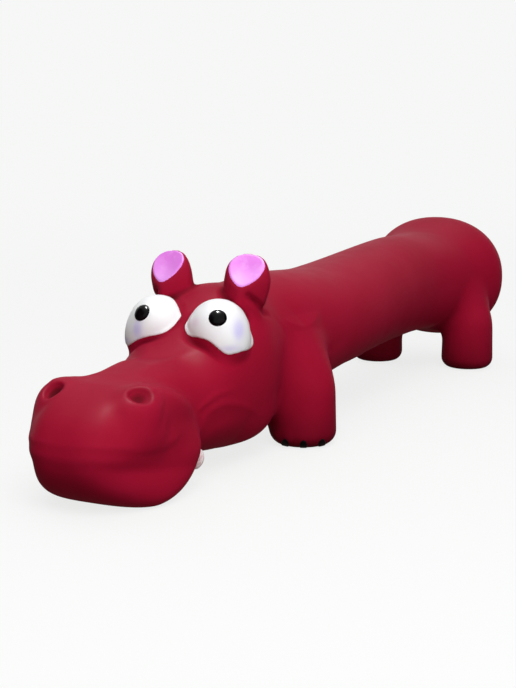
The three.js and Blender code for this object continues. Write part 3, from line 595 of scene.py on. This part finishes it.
def sampled(values, grid, points):
    """Values of a grid at points inside it, blended between its samples."""
    low, share = [], []
    for axis in range(3):
        places = grid.axes[axis]
        i = np.clip(np.searchsorted(places, points[:, axis], side="right") - 1, 0, len(places) - 2)
        low.append(i)
        share.append(np.clip((points[:, axis] - places[i]) / (places[i + 1] - places[i]), 0, 1))
    result = np.zeros(len(points))
    for corner in np.ndindex(2, 2, 2):
        weight = np.ones(len(points))
        for part, t in zip(corner, share):
            weight *= t if part else 1 - t
        result += weight * values[tuple(i + part for i, part in zip(low, corner))]
    return result


def blurred(values, reach, rounds=2):
    """A box blur by that many samples each way, run along each axis in turn."""
    for _ in range(rounds):
        for axis in range(3):
            width = 2 * reach + 1
            pad = [(reach + 1, reach) if i == axis else (0, 0) for i in range(3)]
            total = np.cumsum(np.pad(values, pad, mode="edge"), axis=axis, dtype=np.float64)
            ahead = np.take(total, range(width, total.shape[axis]), axis=axis)
            behind = np.take(total, range(0, total.shape[axis] - width), axis=axis)
            values = ((ahead - behind) / width).astype(np.float32)
    return values


def surface_mesh(field, grid, rounds):
    """Evened points and quads of the surface of a field."""
    points, quads = surface_net(field, grid)
    return smoothed(points, quads, rounds), quads


def make_piece(name, points, faces, look, replaced, attributes=None, normals=None):
    """A mesh object from points in millimetres, with the look's material in its slot."""
    mesh = bpy.data.meshes.new(name)
    mesh.from_pydata((np.asarray(points) * MM).tolist(), [], [list(map(int, f)) for f in faces])
    mesh.validate()
    mesh.polygons.foreach_set("use_smooth", [True] * len(mesh.polygons))
    if normals is not None:
        mesh.normals_split_custom_set_from_vertices(normals.tolist())
    for key, values in (attributes or {}).items():
        attribute = mesh.attributes.new(key, "FLOAT", "POINT")
        attribute.data.foreach_set("value", np.asarray(values, np.float32))
    mesh.materials.append(MATERIALS[look])
    piece = bpy.data.objects.new(name, mesh)
    collection.objects.link(piece)
    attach(piece, "body")
    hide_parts(*replaced)
    return piece


# Materials

def srgb(r, g, b):
    """A linear colour from sRGB values out of 255."""
    def linear(v):
        v /= 255
        return v / 12.92 if v <= 0.04045 else ((v + 0.055) / 1.055) ** 2.4
    return (linear(r), linear(g), linear(b), 1.0)


def add_node(tree, kind, inputs=None, **settings):
    """A node whose inputs are linked to sockets or set to values."""
    node = tree.nodes.new(kind)
    for key, value in settings.items():
        setattr(node, key, value)
    for key, value in (inputs or {}).items():
        if isinstance(value, bpy.types.NodeSocket):
            tree.links.new(value, node.inputs[key])
        else:
            node.inputs[key].default_value = value
    return node


class Shader:
    """A material's node tree, with short calls to add to it."""

    def __init__(self, name, colour, roughness):
        self.material = bpy.data.materials.new(name)
        self.material.use_nodes = True
        self.material.diffuse_color = colour
        self.tree = self.material.node_tree
        self.surface = self.tree.nodes["Principled BSDF"]
        self.surface.inputs["Base Color"].default_value = colour
        self.surface.inputs["Roughness"].default_value = roughness
        self.place = self.tree.nodes.new("ShaderNodeTexCoord").outputs["Object"]

    def node(self, kind, inputs=None, **settings):
        return add_node(self.tree, kind, inputs, **settings)

    def noise(self, scale, detail=2.0, roughness=0.5, distortion=0.0):
        inputs = {"Vector": self.place, "Scale": scale, "Detail": detail}
        inputs |= {"Roughness": roughness, "Distortion": distortion}
        return self.node("ShaderNodeTexNoise", inputs).outputs["Fac"]

    def attribute(self, name):
        return self.node("ShaderNodeAttribute", attribute_name=name).outputs["Fac"]

    def spread(self, value, low, high, to_low=0.0, to_high=1.0):
        """Turns one range into another, with soft ends."""
        inputs = {"Value": value, "From Min": low, "From Max": high, "To Min": to_low, "To Max": to_high}
        return self.node("ShaderNodeMapRange", inputs, interpolation_type="SMOOTHSTEP").outputs["Result"]

    def mix(self, share, first, second):
        """A colour between two colours, for which the node has inputs 6 and 7 and output 2."""
        return self.node("ShaderNodeMix", {0: share, 6: first, 7: second}, data_type="RGBA").outputs[2]

    def maths(self, operation, first, second):
        return self.node("ShaderNodeMath", {0: first, 1: second}, operation=operation).outputs[0]

    def colour(self, value):
        self.tree.links.new(value, self.surface.inputs["Base Color"])

    def roughness(self, value):
        self.tree.links.new(value, self.surface.inputs["Roughness"])

    def patchy_roughness(self, scale, low, high):
        self.roughness(self.spread(self.noise(scale, 2), 0.3, 0.7, low, high))

    def bump(self, *heights):
        """heights are (value, strength, distance in metres), stacked."""
        normal = None
        for value, strength, distance in heights:
            inputs = {"Height": value, "Strength": strength, "Distance": distance}
            if normal:
                inputs["Normal"] = normal
            normal = self.node("ShaderNodeBump", inputs).outputs["Normal"]
        self.tree.links.new(normal, self.surface.inputs["Normal"])

    def constants(self, **values):
        for key, value in values.items():
            self.surface.inputs[key.replace("_", " ")].default_value = value


def latex_material():
    """Crimson latex with painted shade in creases, in the nostrils, in the folds under the ears and low on
    the feet, a painted highlight on convex edges, and matt in creases.
    """
    s = Shader("crimson_latex", srgb(148, 16, 44), 0.5)
    cavity = s.attribute("cavity")
    colour = s.mix(s.spread(s.noise(42, 3), 0.35, 0.65, 0, 0.3), srgb(157, 18, 48), srgb(142, 13, 36))
    # painted shade: dark latex where the cavity share marks a crease or hollow
    colour = s.mix(s.spread(cavity, 0.53, 0.67, 0, 0.8), colour, srgb(70, 3, 10))
    # painted highlight: lighter, pinker latex on convex edges, where the cavity share is low
    colour = s.mix(s.spread(cavity, 0.47, 0.36, 0, 0.06), colour, srgb(176, 50, 84))
    # painted shade low on the feet, in the nostrils and in the folds under the ears
    painted_shade = s.maths("MULTIPLY", s.attribute("painted_shade"), s.spread(s.noise(70, 2), 0.2, 0.6, 0.6, 0.8))
    s.colour(s.mix(painted_shade, colour, srgb(66, 4, 12)))
    satin = s.spread(s.noise(180, 3), 0.3, 0.7, 0.45, 0.51)
    s.roughness(s.maths("MAXIMUM", satin, s.spread(cavity, 0.5, 0.56, 0.45, 0.9)))
    s.bump((s.noise(900, 3), 0.12, 0.00005))
    s.constants(Specular_IOR_Level=0.018, Sheen_Weight=0.018, Sheen_Roughness=0.4)
    s.constants(Sheen_Tint=srgb(235, 130, 205), Subsurface_Radius=(1.0, 0.25, 0.2))
    s.constants(Subsurface_Weight=0.05, Subsurface_Scale=0.003)
    return s.material


def white_material():
    s = Shader("white_paint", srgb(245, 245, 247), 0.4)
    # painted shade and painted reflections: lavender streaks and a pink spot in the white
    colour = s.mix(s.spread(s.attribute("lavender"), 0, 1), srgb(240, 241, 243), srgb(210, 205, 242))
    colour = s.mix(s.spread(s.attribute("pink"), 0, 1), colour, srgb(236, 214, 232))
    colour = s.mix(s.spread(s.noise(260, 2), 0.45, 0.75, 0, 0.25), colour, srgb(232, 230, 240))
    s.colour(colour)
    s.patchy_roughness(300, 0.3, 0.45)
    s.bump((s.noise(240, 2), 0.2, 0.0002), (s.noise(1500, 2), 0.1, 0.00004))
    s.constants(Specular_IOR_Level=0.35)
    return s.material


def pink_material():
    s = Shader("pink_paint", srgb(240, 146, 246), 0.5)
    # painted shade: the lining is paler and bluer low on its face and a deeper pink higher up
    colour = s.mix(s.spread(s.attribute("height"), 0, 1), srgb(234, 158, 243), srgb(231, 122, 233))
    colour = s.mix(s.spread(s.noise(420, 3), 0.45, 0.8, 0, 0.35), colour, srgb(248, 190, 250))
    s.colour(colour)
    s.patchy_roughness(300, 0.45, 0.6)
    s.bump((s.noise(300, 2), 0.25, 0.0002), (s.noise(1500, 2), 0.12, 0.00004))
    s.constants(Specular_IOR_Level=0.3)
    return s.material


def black_material(name, gloss):
    s = Shader(name, srgb(8, 6, 8), 0.2)
    s.colour(s.mix(s.spread(s.noise(600, 3), 0.4, 0.75), srgb(6, 4, 6), srgb(18, 12, 15)))
    s.patchy_roughness(500, gloss, gloss + 0.08)
    s.bump((s.noise(500, 2), 0.1, 0.0001))
    s.constants(Specular_IOR_Level=0.12)
    return s.material


def tooth_material():
    s = Shader("tooth_paint", srgb(240, 224, 224), 0.4)
    s.colour(s.mix(s.spread(s.noise(500, 3), 0.35, 0.7), srgb(250, 236, 236), srgb(240, 206, 210)))
    s.patchy_roughness(600, 0.35, 0.5)
    s.bump((s.noise(700, 2), 0.2, 0.0001))
    return s.material


def plastic_material(name, tint, roughness):
    s = Shader(name, srgb(*tint), roughness)
    shade = tuple(0.93 * v for v in tint)
    s.colour(s.mix(s.spread(s.noise(300, 3), 0.35, 0.7), srgb(*tint), srgb(*shade)))
    s.patchy_roughness(700, roughness, roughness + 0.12)
    s.bump((s.noise(1400, 2), 0.1, 0.00004))
    s.constants(Subsurface_Weight=0.1, Subsurface_Scale=0.002)
    return s.material


def fibre_material():
    s = Shader("fibre_filling", srgb(243, 241, 236), 0.9)
    strands = s.noise(1100, 4, 0.7, 1.5)
    s.colour(s.mix(strands, srgb(228, 225, 218), srgb(250, 249, 246)))
    s.bump((strands, 0.6, 0.0004), (s.noise(220, 3), 0.5, 0.001))
    s.constants(Sheen_Weight=0.4)
    return s.material


MATERIALS = {
    "crimson_latex": latex_material(),
    "white_paint": white_material(),
    "pink_paint": pink_material(),
    "pupil_black": black_material("pupil_black", 0.15),
    "claw_black": black_material("claw_black", 0.3),
    "tooth_paint": tooth_material(),
    "squeaker_plastic": plastic_material("squeaker_plastic", (238, 234, 224), 0.35),
    "squeaker_insert_plastic": plastic_material("squeaker_insert_plastic", (219, 215, 203), 0.4),
    "reed_plastic": plastic_material("reed_plastic", (245, 240, 228), 0.2),
    "fibre_filling": fibre_material(),
}

# Skin

barrel_low, barrel_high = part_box("squeaker_barrel")
FLANGE_RADIUS = (barrel_high.x - barrel_low.x) / 2 / MM
SQUEAKER_Y = (barrel_high.y + barrel_low.y) / 2 / MM
FLANGE_AND_GAP = 1.4
PORT_Z = barrel_low.z / MM + FLANGE_AND_GAP  # height of the outer face of the latex rim
PORT_HOLE_RADIUS = 6.5
PORT_THICKNESS = 3.0
PORT_CLEARANCE = 0.3  # round the flanges
PORT_LAP = 1.0  # how far the hole's cutter runs on past the rim, up and down
PORT_ROOM = 2.0  # room over the collar
COLLAR_RADIUS = 10.6
COLLAR_HEIGHT = 5.5
COLLAR_FILLETS = (0.8, 0.2, 0.6, 0.3)  # its top edge, where the skin trims it, its foot, openings
PORT_BOX = ((-14, -14, 2), (14, 14, 32))  # y counts from the squeaker's middle
CAVITY_REACH = 3  # samples over which hollows and edges are told apart
FOOT_SHADE = 18.0  # height over which the painted shade low on the feet fades out
FOOT_FADE = 1.5  # exponent of that fading
FOOT_MARGIN = 3.0  # past the leg's radius
NOSTRIL_SHADE = 1.1  # reach of the painted shade in a nostril, as a share of the hollow
NOSTRIL_DARKNESS = 0.55
FOLD_SHADE = 0.7  # reach of it along the fold under the ear
FOLD_DARKNESS = 0.5
FOLD_NEAR = 12.0  # distance within which that is worked out


def squeaker_port(shell, outer, grid):
    """Adds the collar that grips the squeaker, and opens the port's pocket, hole and room."""
    low, high = PORT_BOX
    window = grid.window((low[0], SQUEAKER_Y + low[1], low[2]), (high[0], SQUEAKER_Y + high[1], high[2]))
    x, y, z = grid.part(window).coordinates()
    across = np.hypot(x, y - SQUEAKER_Y) + 0 * z
    top_edge, trim, foot, edge = COLLAR_FILLETS
    collar = common(across - COLLAR_RADIUS, z - PORT_Z - COLLAR_HEIGHT + 0 * across, top_edge)
    part = join(shell[window], common(collar, outer[window], trim), foot)
    wide = across - FLANGE_RADIUS - PORT_CLEARANCE
    pocket = np.maximum(wide, z - PORT_Z)
    hole = np.maximum(across - PORT_HOLE_RADIUS, z - PORT_Z - PORT_THICKNESS - PORT_LAP)
    hole = np.maximum(hole, PORT_Z - PORT_LAP - z)
    low, high = PORT_Z + PORT_THICKNESS, PORT_Z + COLLAR_HEIGHT + PORT_ROOM
    room = np.maximum(np.maximum(wide, low - z), z - high)
    for opening in (pocket, hole, room):
        part = carve(part, opening, edge)
    shell[window] = part


def painted_shade_share(points):
    """How much painted shade shows: low on the feet, in the nostrils and in the ears' folds."""
    painted_shade = np.zeros(len(points))
    for side, across, y, _ in LEGS:
        near = np.hypot(points[:, 0] - side * across, points[:, 1] - y) < LEG_RADIUS + FOOT_MARGIN
        painted_shade[near] = np.clip(1 - points[near, 2] / FOOT_SHADE, 0, 1) ** FOOT_FADE
    for place, radii, _ in NOSTRIL_HOLLOWS:
        gap = np.linalg.norm((points - place) / radii, axis=1) / NOSTRIL_SHADE
        painted_shade += NOSTRIL_DARKNESS * np.exp(-(gap**4))
    for side in SIDES.values():
        fold = smooth_line(EAR_FOLD, closed=False, steps=3) * (side, 1, 1)
        near = np.flatnonzero(np.linalg.norm(points - fold.mean(0), axis=1) < FOLD_NEAR)
        gap = np.min([np.linalg.norm(points[near] - place, axis=1) for place in fold], axis=0) / FOLD_SHADE
        painted_shade[near] += FOLD_DARKNESS * np.exp(-(gap**2))
    return painted_shade


def make_skin():
    """The latex as one hollow form, with its field's normals, which are smoother than the mesh's."""
    grid = skin_grid()
    outer = skin_field(grid)
    shell = carve(outer, base_field(grid) + WALL, WALL_EDGE)
    squeaker_port(shell, outer, grid)
    # share of solid round each point, high in creases and low on edges; the latex paints shade in creases
    # and a highlight on edges from it
    solid = blurred(np.clip(0.5 - outer, 0, 1), CAVITY_REACH)
    points, quads = surface_mesh(shell, grid, 4)
    points[:, 2] = np.maximum(points[:, 2], 0)
    normals = np.stack([sampled(part, grid, points) for part in np.gradient(shell, *grid.axes)], 1)
    normals /= np.maximum(np.linalg.norm(normals, axis=1), 1e-6)[:, None]
    tints = {"cavity": sampled(solid, grid, points), "painted_shade": painted_shade_share(points)}
    nodes = ["trunk_skin", "head_skin", "tail", "left_ear", "right_ear"]
    nodes += [f"{end}_{side}_leg" for end in ("front", "hind") for side in SIDES]
    make_piece("toy_skin", points, quads, "crimson_latex", nodes, attributes=tints, normals=normals)


FILLING_BOX = ((-26, -122, -2), (26, 122, 54))
FILLING_STEP = 1.6
FILLING_GAP = 0.9  # to the skin
FILLING_LUMPS = 0.35  # height of its lumps
FILLING_EDGE = 1.5
FILLING_ROOM = (0.8, 17.5)  # left round the squeaker's collar, and over the port's face


def make_filling():
    """Loose fibre, a little lumpy, packed in the skin and round the squeaker."""
    grid = box_grid(*FILLING_BOX, FILLING_STEP)
    x, y, z = grid.coordinates()
    lumps = np.sin(0.9 * x + 0.31 * y) * np.sin(0.55 * y + 0.4 * z) * np.sin(0.8 * z - 0.2 * x + 1)
    field = base_field(grid) + WALL + FILLING_GAP + FILLING_LUMPS * lumps
    across = np.hypot(x, y - SQUEAKER_Y)
    beside, above = FILLING_ROOM
    room = np.maximum(across - COLLAR_RADIUS - beside, z - PORT_Z - above)
    points, quads = surface_mesh(carve(field, room, FILLING_EDGE), grid, 3)
    piece = make_piece("fibre_filling", points, quads, "fibre_filling", ["filling"])


# Painted details

PAINT = 0.16  # thickness of the paint on the latex
PAINT_ROOT = 0.5  # how deep a film is sunk in the latex
PAINT_EDGE = 0.2
PAINT_BLEND = 0.05  # between a film's outer and inner face
# Lowest and highest corner of a detail's grid, from the detail's middle, and its step.
EYE_GRID = ((-11, -12, -12), (11, 8, 12), 0.3)
LINING_GRID = ((-9, -8, -9), (9, 7, 9), 0.25)
NAIL_GRID = ((-4.4, -4.4, -3.4), (4.4, 4.4, 3), 0.18)


def grid_round(middle, low, high, step):
    return box_grid(middle + low, middle + high, step)


def film(surface, mask, thickness=PAINT):
    """A film of paint on a surface where the mask is negative, with a rounded edge."""
    return common(common(surface - thickness, -(surface + PAINT_ROOT), PAINT_BLEND), mask, PAINT_EDGE)


def inside_outline(a, b, outline):
    """Signed distance from a closed smooth outline through points, negative inside."""
    points = smooth_line(outline, closed=True)
    ends = np.roll(points, -1, axis=0)
    nearest = np.full(np.broadcast(a, b).shape, 1e9)
    inside = np.zeros(nearest.shape, bool)
    for (x0, y0), (x1, y1) in zip(points, ends):
        dx, dy = x1 - x0, y1 - y0
        t = np.clip(((a - x0) * dx + (b - y0) * dy) / (dx * dx + dy * dy), 0, 1)
        nearest = np.minimum(nearest, (a - x0 - t * dx) ** 2 + (b - y0 - t * dy) ** 2)
        crosses = (y0 > b) != (y1 > b)
        inside ^= crosses & (a < x0 + (b - y0) * dx / (dy if dy else 1e-9))
    distance_to = np.sqrt(nearest)
    return np.where(inside, -distance_to, distance_to)


# An eye patch's outline, across and up from the eyeball's middle, seen along the eye's axis.
EYE_AXIS_TURN = 27.5
EYE_AXIS_LIFT = 9.2
EYE_OUTER = [
    (-0.7, 7.3), (1.9, 7.1), (4.1, 6.0), (5.9, 4.3), (7.0, 2.0), (7.5, -0.4), (8.1, -2.3), (8.0, -3.8),
    (7.0, -4.8), (5.6, -5.2), (3.9, -5.7), (2.3, -5.9),
]
EYE_INNER = {
    "left": [
        (1.0, -5.3), (-0.6, -3.9), (-2.1, -2.8), (-4.0, -2.1), (-6.4, -1.7), (-7.5, -0.8), (-7.9, 0.7),
        (-7.2, 2.2), (-6.3, 3.9), (-5.1, 5.6), (-3.3, 7.0),
    ],
    "right": [
        (1.2, -5.6), (-0.4, -4.8), (-2.1, -3.8), (-4.2, -2.8), (-6.4, -1.8), (-7.3, -0.8), (-7.5, 0.7),
        (-6.9, 2.6), (-5.8, 4.2), (-4.4, 5.7), (-2.9, 6.9),
    ],
}
EYE_BACK = {"left": 3.0, "right": 2.1}  # how far behind the eyeball's middle the paint goes
# Painted shade and painted reflections in the eye's white: lavender streaks, and a pink spot towards the
# inner corner.
LAVENDER = [(1.0, 4.8, -0.2, 1.4, 2.6), (0.6, 2.9, -4.5, 2.6, 0.9)]  # as blots takes them
EYE_SHADE_AND_REFLECTIONS = {
    "left": {"lavender": LAVENDER, "pink": [(0.6, -5.3, 1.5, 1.3, 1.4)]},
    "right": {"lavender": LAVENDER + [(0.9, -2.0, -1.4, 1.5, 2.4)], "pink": [(0.1, -5.3, 1.5, 1.3, 1.4)]},
}


def eye_axes(side):
    """Columns: across, away from the viewer and up, for a viewer on the eye's axis."""
    return turned_axes(turn=side * EYE_AXIS_TURN, tip=-EYE_AXIS_LIFT)


def blots(a, b, rows):
    """Soft blots, each given by its strength, its place and its reach, across and up."""
    return sum(k * np.exp(-(((a - u) / p) ** 2 + ((b - v) / q) ** 2)) for k, u, v, p, q in rows)


def make_eye(name, side):
    centre = np.array(mirrored(EYE, side))
    grid = grid_round(centre, *EYE_GRID)
    u, v, w = local(grid, centre, eye_axes(side))
    mask = inside_outline(side * u, w, EYE_OUTER + EYE_INNER[name])
    mask = np.maximum(mask, v - EYE_BACK[name])
    points, quads = surface_mesh(film(skin_field(grid), mask), grid, 3)
    offset = (points - centre) @ eye_axes(side)
    a, b = side * offset[:, 0], offset[:, 2]
    tints = {tint: blots(a, b, rows) for tint, rows in EYE_SHADE_AND_REFLECTIONS[name].items()}
    make_piece(f"{name}_eye_patch", points, quads, "white_paint", [f"{name}_eye"], attributes=tints)


PUPIL_RADIUS = 2.15
PUPIL_HEIGHT = 1.15
PUPIL_SINK = 0.35  # depth of its middle under the eyeball's surface
PUPIL_TURN = 1.12  # quarter turns from its top to its edge
PUPIL_RINGS = 10
PUPIL_SEGMENTS = 40


def make_pupil(name, side):
    """A low dome on the eyeball, in the direction of the solid pupil."""
    low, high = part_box(f"{name}_pupil")
    centre = np.array(mirrored(EYE, side))
    ahead = np.array((low + high) / 2 / MM) - centre
    ahead /= np.linalg.norm(ahead)
    middle = centre + ahead * (EYE[3] - PUPIL_SINK)
    across = np.cross(ahead, (0, 0, 1))
    across /= np.linalg.norm(across)
    up = np.cross(across, ahead)
    points = [middle + ahead * PUPIL_HEIGHT]
    for i in range(1, PUPIL_RINGS + 1):
        angle = math.pi / 2 * i / PUPIL_RINGS * PUPIL_TURN
        for j in range(PUPIL_SEGMENTS):
            turn = 2 * math.pi * j / PUPIL_SEGMENTS
            outward = PUPIL_RADIUS * math.sin(angle) * (across * math.cos(turn) + up * math.sin(turn))
            points.append(middle + ahead * PUPIL_HEIGHT * math.cos(angle) + outward)
    n = PUPIL_SEGMENTS
    faces = [(0, 1 + j, 1 + (j + 1) % n) for j in range(n)]
    for i in range(PUPIL_RINGS - 1):
        for j in range(n):
            a, b = 1 + i * n, 1 + (i + 1) * n
            faces.append((a + j, b + j, b + (j + 1) % n, a + (j + 1) % n))
    faces.append(tuple(1 + (PUPIL_RINGS - 1) * n + j for j in reversed(range(n))))
    make_piece(f"{name}_pupil_dome", points, faces, "pupil_black", [f"{name}_pupil"])


LINING_MIDDLE = 9.0  # height of its middle over the ear's foot
LINING_LAP = 0.35  # how far the paint goes over the edge of the ear's face
LINING_GAP = 0.6  # between the paint and the head


def make_lining(name, side):
    centre, _ = ear_frame(side)
    middle = np.array(centre) + (0, 0, LINING_MIDDLE)
    grid = grid_round(middle, *LINING_GRID)
    mask = np.maximum(ear_front(grid, side) - LINING_LAP, LINING_GAP - bald_field(grid))
    mask = np.maximum(mask, ear_blank(grid, side) + EAR_RIM)
    points, quads = surface_mesh(film(skin_field(grid), mask), grid, 3)
    # painted shade on the lining, changing with height
    tints = {"height": np.clip((points[:, 2] - middle[2] + 4) / 9, 0, 1)}
    make_piece(f"{name}_ear_paint", points, quads, "pink_paint", [f"{name}_ear_lining"], attributes=tints)


NAIL_HALF_WIDTH = 0.95
NAIL_HALF_HEIGHT = 1.75
NAIL_MIDDLE = 0.9  # height of its middle
NAIL_FOOT = 0.12  # height of its lower edge
NAIL_FRONT = 1.5  # least distance of its paint ahead of the leg's middle
NAIL_PAINT = 0.22  # thickness of its paint


def solid_box(name):
    """Lowest corner, middle and highest corner of a solid, in millimetres."""
    low, high = (np.array(corner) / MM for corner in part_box(name))
    return low, (low + high) / 2, high


def oval(u, w, across, up):
    return (np.sqrt((u / across) ** 2 + (w / up) ** 2) - 1) * min(across, up)


def make_nail(foot, index, side):
    """A half-oval film of paint on the foot, upright as seen from straight ahead."""
    solid = f"{foot}_claw_{index + 1}"
    _, middle, _ = solid_box(solid)
    across, y, _ = LEG_PAIRS[0]
    leg_middle = np.array([side * across, y, 0])
    ahead = solid_box(f"{foot}_claw_2")[1] - leg_middle
    ahead[2] = 0
    ahead /= np.linalg.norm(ahead)
    grid = grid_round(middle, *NAIL_GRID)
    x, y, z = grid.coordinates()
    u = (x - middle[0]) * -ahead[1] + (y - middle[1]) * ahead[0] + 0 * z
    mask = oval(u, z - NAIL_MIDDLE, NAIL_HALF_WIDTH, NAIL_HALF_HEIGHT)
    mask = np.maximum(mask, NAIL_FOOT - z)
    facing = (x - leg_middle[0]) * ahead[0] + (y - leg_middle[1]) * ahead[1]
    mask = np.maximum(mask, NAIL_FRONT - facing)
    points, quads = surface_mesh(film(skin_field(grid), mask, NAIL_PAINT), grid, 2)
    make_piece(f"{foot}_nail_{index + 1}", points, quads, "claw_black", [solid])


TUSK_RADIUS = 1.2
TUSK_HALF = 2.8  # half of its height
TUSK_BOW = 0.6
TUSK_RAISE = 0.7  # from the solid tooth's middle to its own
TUSK_PLACE = (-0.5, -0.3)  # the same across and along Y
TUSK_SINK = 0.25  # how deep it is sunk in the skin
TUSK_TIP = 0.02  # keeps its tips from being sharp
TUSK_EDGES = (0.4, 0.1)  # rounding at its ends, and where it meets the skin
TUSK_ROOM = 3  # from the solid tooth to the ends of its grid
TUSK_STEP = 0.2


def make_tusk(name, side):
    """A small curved tusk that lies against the rear corner of the muzzle."""
    low, middle, high = solid_box(f"{name}_tooth")
    middle = middle + (0, 0, TUSK_RAISE)
    grid = box_grid(low - TUSK_ROOM, high + TUSK_ROOM, TUSK_STEP)
    x, y, z = grid.coordinates()
    rise = (z - middle[2]) / TUSK_HALF
    bow = TUSK_BOW * (1 - rise**2)
    width = TUSK_RADIUS * np.sqrt(np.clip(1 + TUSK_TIP - rise**2, TUSK_TIP, 1))
    place = (middle[0] + side * (bow - TUSK_BOW + TUSK_PLACE[0]), middle[1] + bow + TUSK_PLACE[1])
    tusk = (np.hypot(x - place[0], y - place[1]) - width) * 0.8
    ends, foot = TUSK_EDGES
    tusk = common(tusk, np.abs(z - middle[2]) - TUSK_HALF + 0 * tusk, ends)
    tusk = common(tusk, -skin_field(grid) - TUSK_SINK, foot)
    points, quads = surface_mesh(tusk, grid, 4)
    make_piece(f"{name}_tusk", points, quads, "tooth_paint", [f"{name}_tooth"])


SHOWN_SOLIDS = {  # looks of the squeaker's solids, which are shown as they are
    "squeaker_plastic": ("barrel", "cap"),
    "squeaker_insert_plastic": ("reed_bed", "reed_clamp"),
    "reed_plastic": ("reed",),
}


def dress_solids():
    for look, parts in SHOWN_SOLIDS.items():
        for part in parts:
            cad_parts[f"squeaker_{part}"].data.materials[0] = MATERIALS[look]


# Stage, in metres

BACKGROUND = srgb(246, 247, 246)
BELOW_HORIZON = (0.13, 0.095, 0.085, 1)
WORLD_LIFT = 0.3  # added to a direction's height before its colour is looked up
WORLD_STOPS = (0.2, 0.27)  # where the change of colour starts and ends
FLOOR_REACH = 300.0
FLOOR_GREY = (0.15, 0.15, 0.15, 1)
FLOOR_GLOW = 0.85
KEY_LAMP = (0.3, 1.1, (0.2, -0.3, 0.36), (-0.2, 0.24, -0.34))  # size, power, place and direction
FILL_LAMP = (0.16, 0.11, (0.34, -0.16, 0.05), (-0.34, 0.1, -0.035))
GLINT_LAMP = (15.0, (0, 0, 1), (0.05, -0.08, -1.0))  # power, place and direction
GLINT_WIDTH = 8.0  # in degrees
LEFT_CARD = ((-0.62, -0.05), (-0.05, -0.62))  # ends of its lower edge
REAR_CARD = ((0.7, 0.0), (0.2, 0.6))
CARD_HEIGHT = 0.6
CARD_GREY = (0.03, 0.03, 0.03, 1)
CAMERA_PLACE = (160.03, -338.93, 80.42)  # in millimetres
CAMERA_TURN = 27.5
CAMERA_LIFT = 9.244  # degrees that it looks down
PHOTO_HEIGHT = 688  # in pixels
FOCAL_LENGTH = 1345.34  # in pixels of the photograph
SENSOR_HEIGHT = 36


def add_sheet(name, corners, shader):
    """A flat four-cornered sheet that belongs to the studio."""
    mesh = bpy.data.meshes.new(name)
    mesh.from_pydata(corners, [], [(0, 1, 2, 3)])
    mesh.materials.append(shader.material)
    sheet = bpy.data.objects.new(name, mesh)
    collection.objects.link(sheet)
    return sheet


def make_floor():
    """A floor that glows like the background and lights nothing else."""
    s = Shader("floor", FLOOR_GREY, 0.9)
    s.constants(Specular_IOR_Level=0.0, Emission_Color=BACKGROUND, Emission_Strength=FLOOR_GLOW)
    r = FLOOR_REACH
    floor = add_sheet("floor", [(-r, -r, 0), (r, -r, 0), (r, r, 0), (-r, r, 0)], s)
    floor.visible_diffuse = False
    floor.visible_glossy = False


def make_world():
    """A pale surrounding that is dim below the horizon."""
    world = bpy.data.worlds.new("studio")
    bpy.context.scene.world = world
    world.use_nodes = True
    tree = world.node_tree
    direction = add_node(tree, "ShaderNodeTexCoord").outputs["Generated"]
    height = add_node(tree, "ShaderNodeSeparateXYZ", {0: direction}).outputs["Z"]
    lifted = add_node(tree, "ShaderNodeMath", {0: height, 1: WORLD_LIFT}).outputs[0]
    ramp = add_node(tree, "ShaderNodeValToRGB", {0: lifted})
    for stop, position, colour in zip(ramp.color_ramp.elements, WORLD_STOPS, (BELOW_HORIZON, BACKGROUND)):
        stop.position = position
        stop.color = colour
    tree.links.new(ramp.outputs[0], tree.nodes["Background"].inputs["Color"])


def add_lamp(name, kind, energy, place, direction):
    light = bpy.data.lights.new(name, kind)
    light.energy = energy
    lamp = bpy.data.objects.new(name, light)
    lamp.location = place
    lamp.rotation_euler = Vector(direction).to_track_quat("-Z", "Y").to_euler()
    collection.objects.link(lamp)
    return lamp


def add_soft_lamp(name, size, energy, place, direction):
    """A round lamp that makes no glints."""
    lamp = add_lamp(name, "AREA", energy, place, direction)
    lamp.data.shape = "DISK"
    lamp.data.size = size
    lamp.visible_glossy = False


def add_card(name, start, end):
    """An upright dark card that the camera doesn't see."""
    corners = [(*start, 0.0), (*end, 0.0), (*end, CARD_HEIGHT), (*start, CARD_HEIGHT)]
    add_sheet(name, corners, Shader(name, CARD_GREY, 0.9)).visible_camera = False


def make_lights():
    add_soft_lamp("key", *KEY_LAMP)
    add_soft_lamp("low_fill", *FILL_LAMP)
    glint = add_lamp("glint", "SUN", *GLINT_LAMP)
    glint.data.angle = math.radians(GLINT_WIDTH)
    glint.visible_diffuse = False
    add_card("dark_card_left", *LEFT_CARD)
    add_card("dark_card_rear", *REAR_CARD)


def make_camera():
    camera = bpy.data.cameras.new("camera")
    camera.sensor_fit = "VERTICAL"
    camera.sensor_height = SENSOR_HEIGHT
    camera.lens = FOCAL_LENGTH / PHOTO_HEIGHT * SENSOR_HEIGHT
    camera.clip_end = 1000
    eye = bpy.data.objects.new("camera", camera)
    eye.location = Vector(CAMERA_PLACE) * MM
    eye.rotation_euler = (math.radians(90 - CAMERA_LIFT), 0, math.radians(CAMERA_TURN))
    collection.objects.link(eye)
    bpy.context.scene.camera = eye


make_camera()
make_floor()
make_world()
make_lights()
make_skin()
make_filling()
for name, side in SIDES.items():
    make_eye(name, side)
    make_pupil(name, side)
    make_lining(name, side)
    make_tusk(name, side)
    for index in range(3):
        make_nail(f"front_{name}", index, side)
dress_solids()
bpy.context.scene.view_settings.view_transform = "Standard"
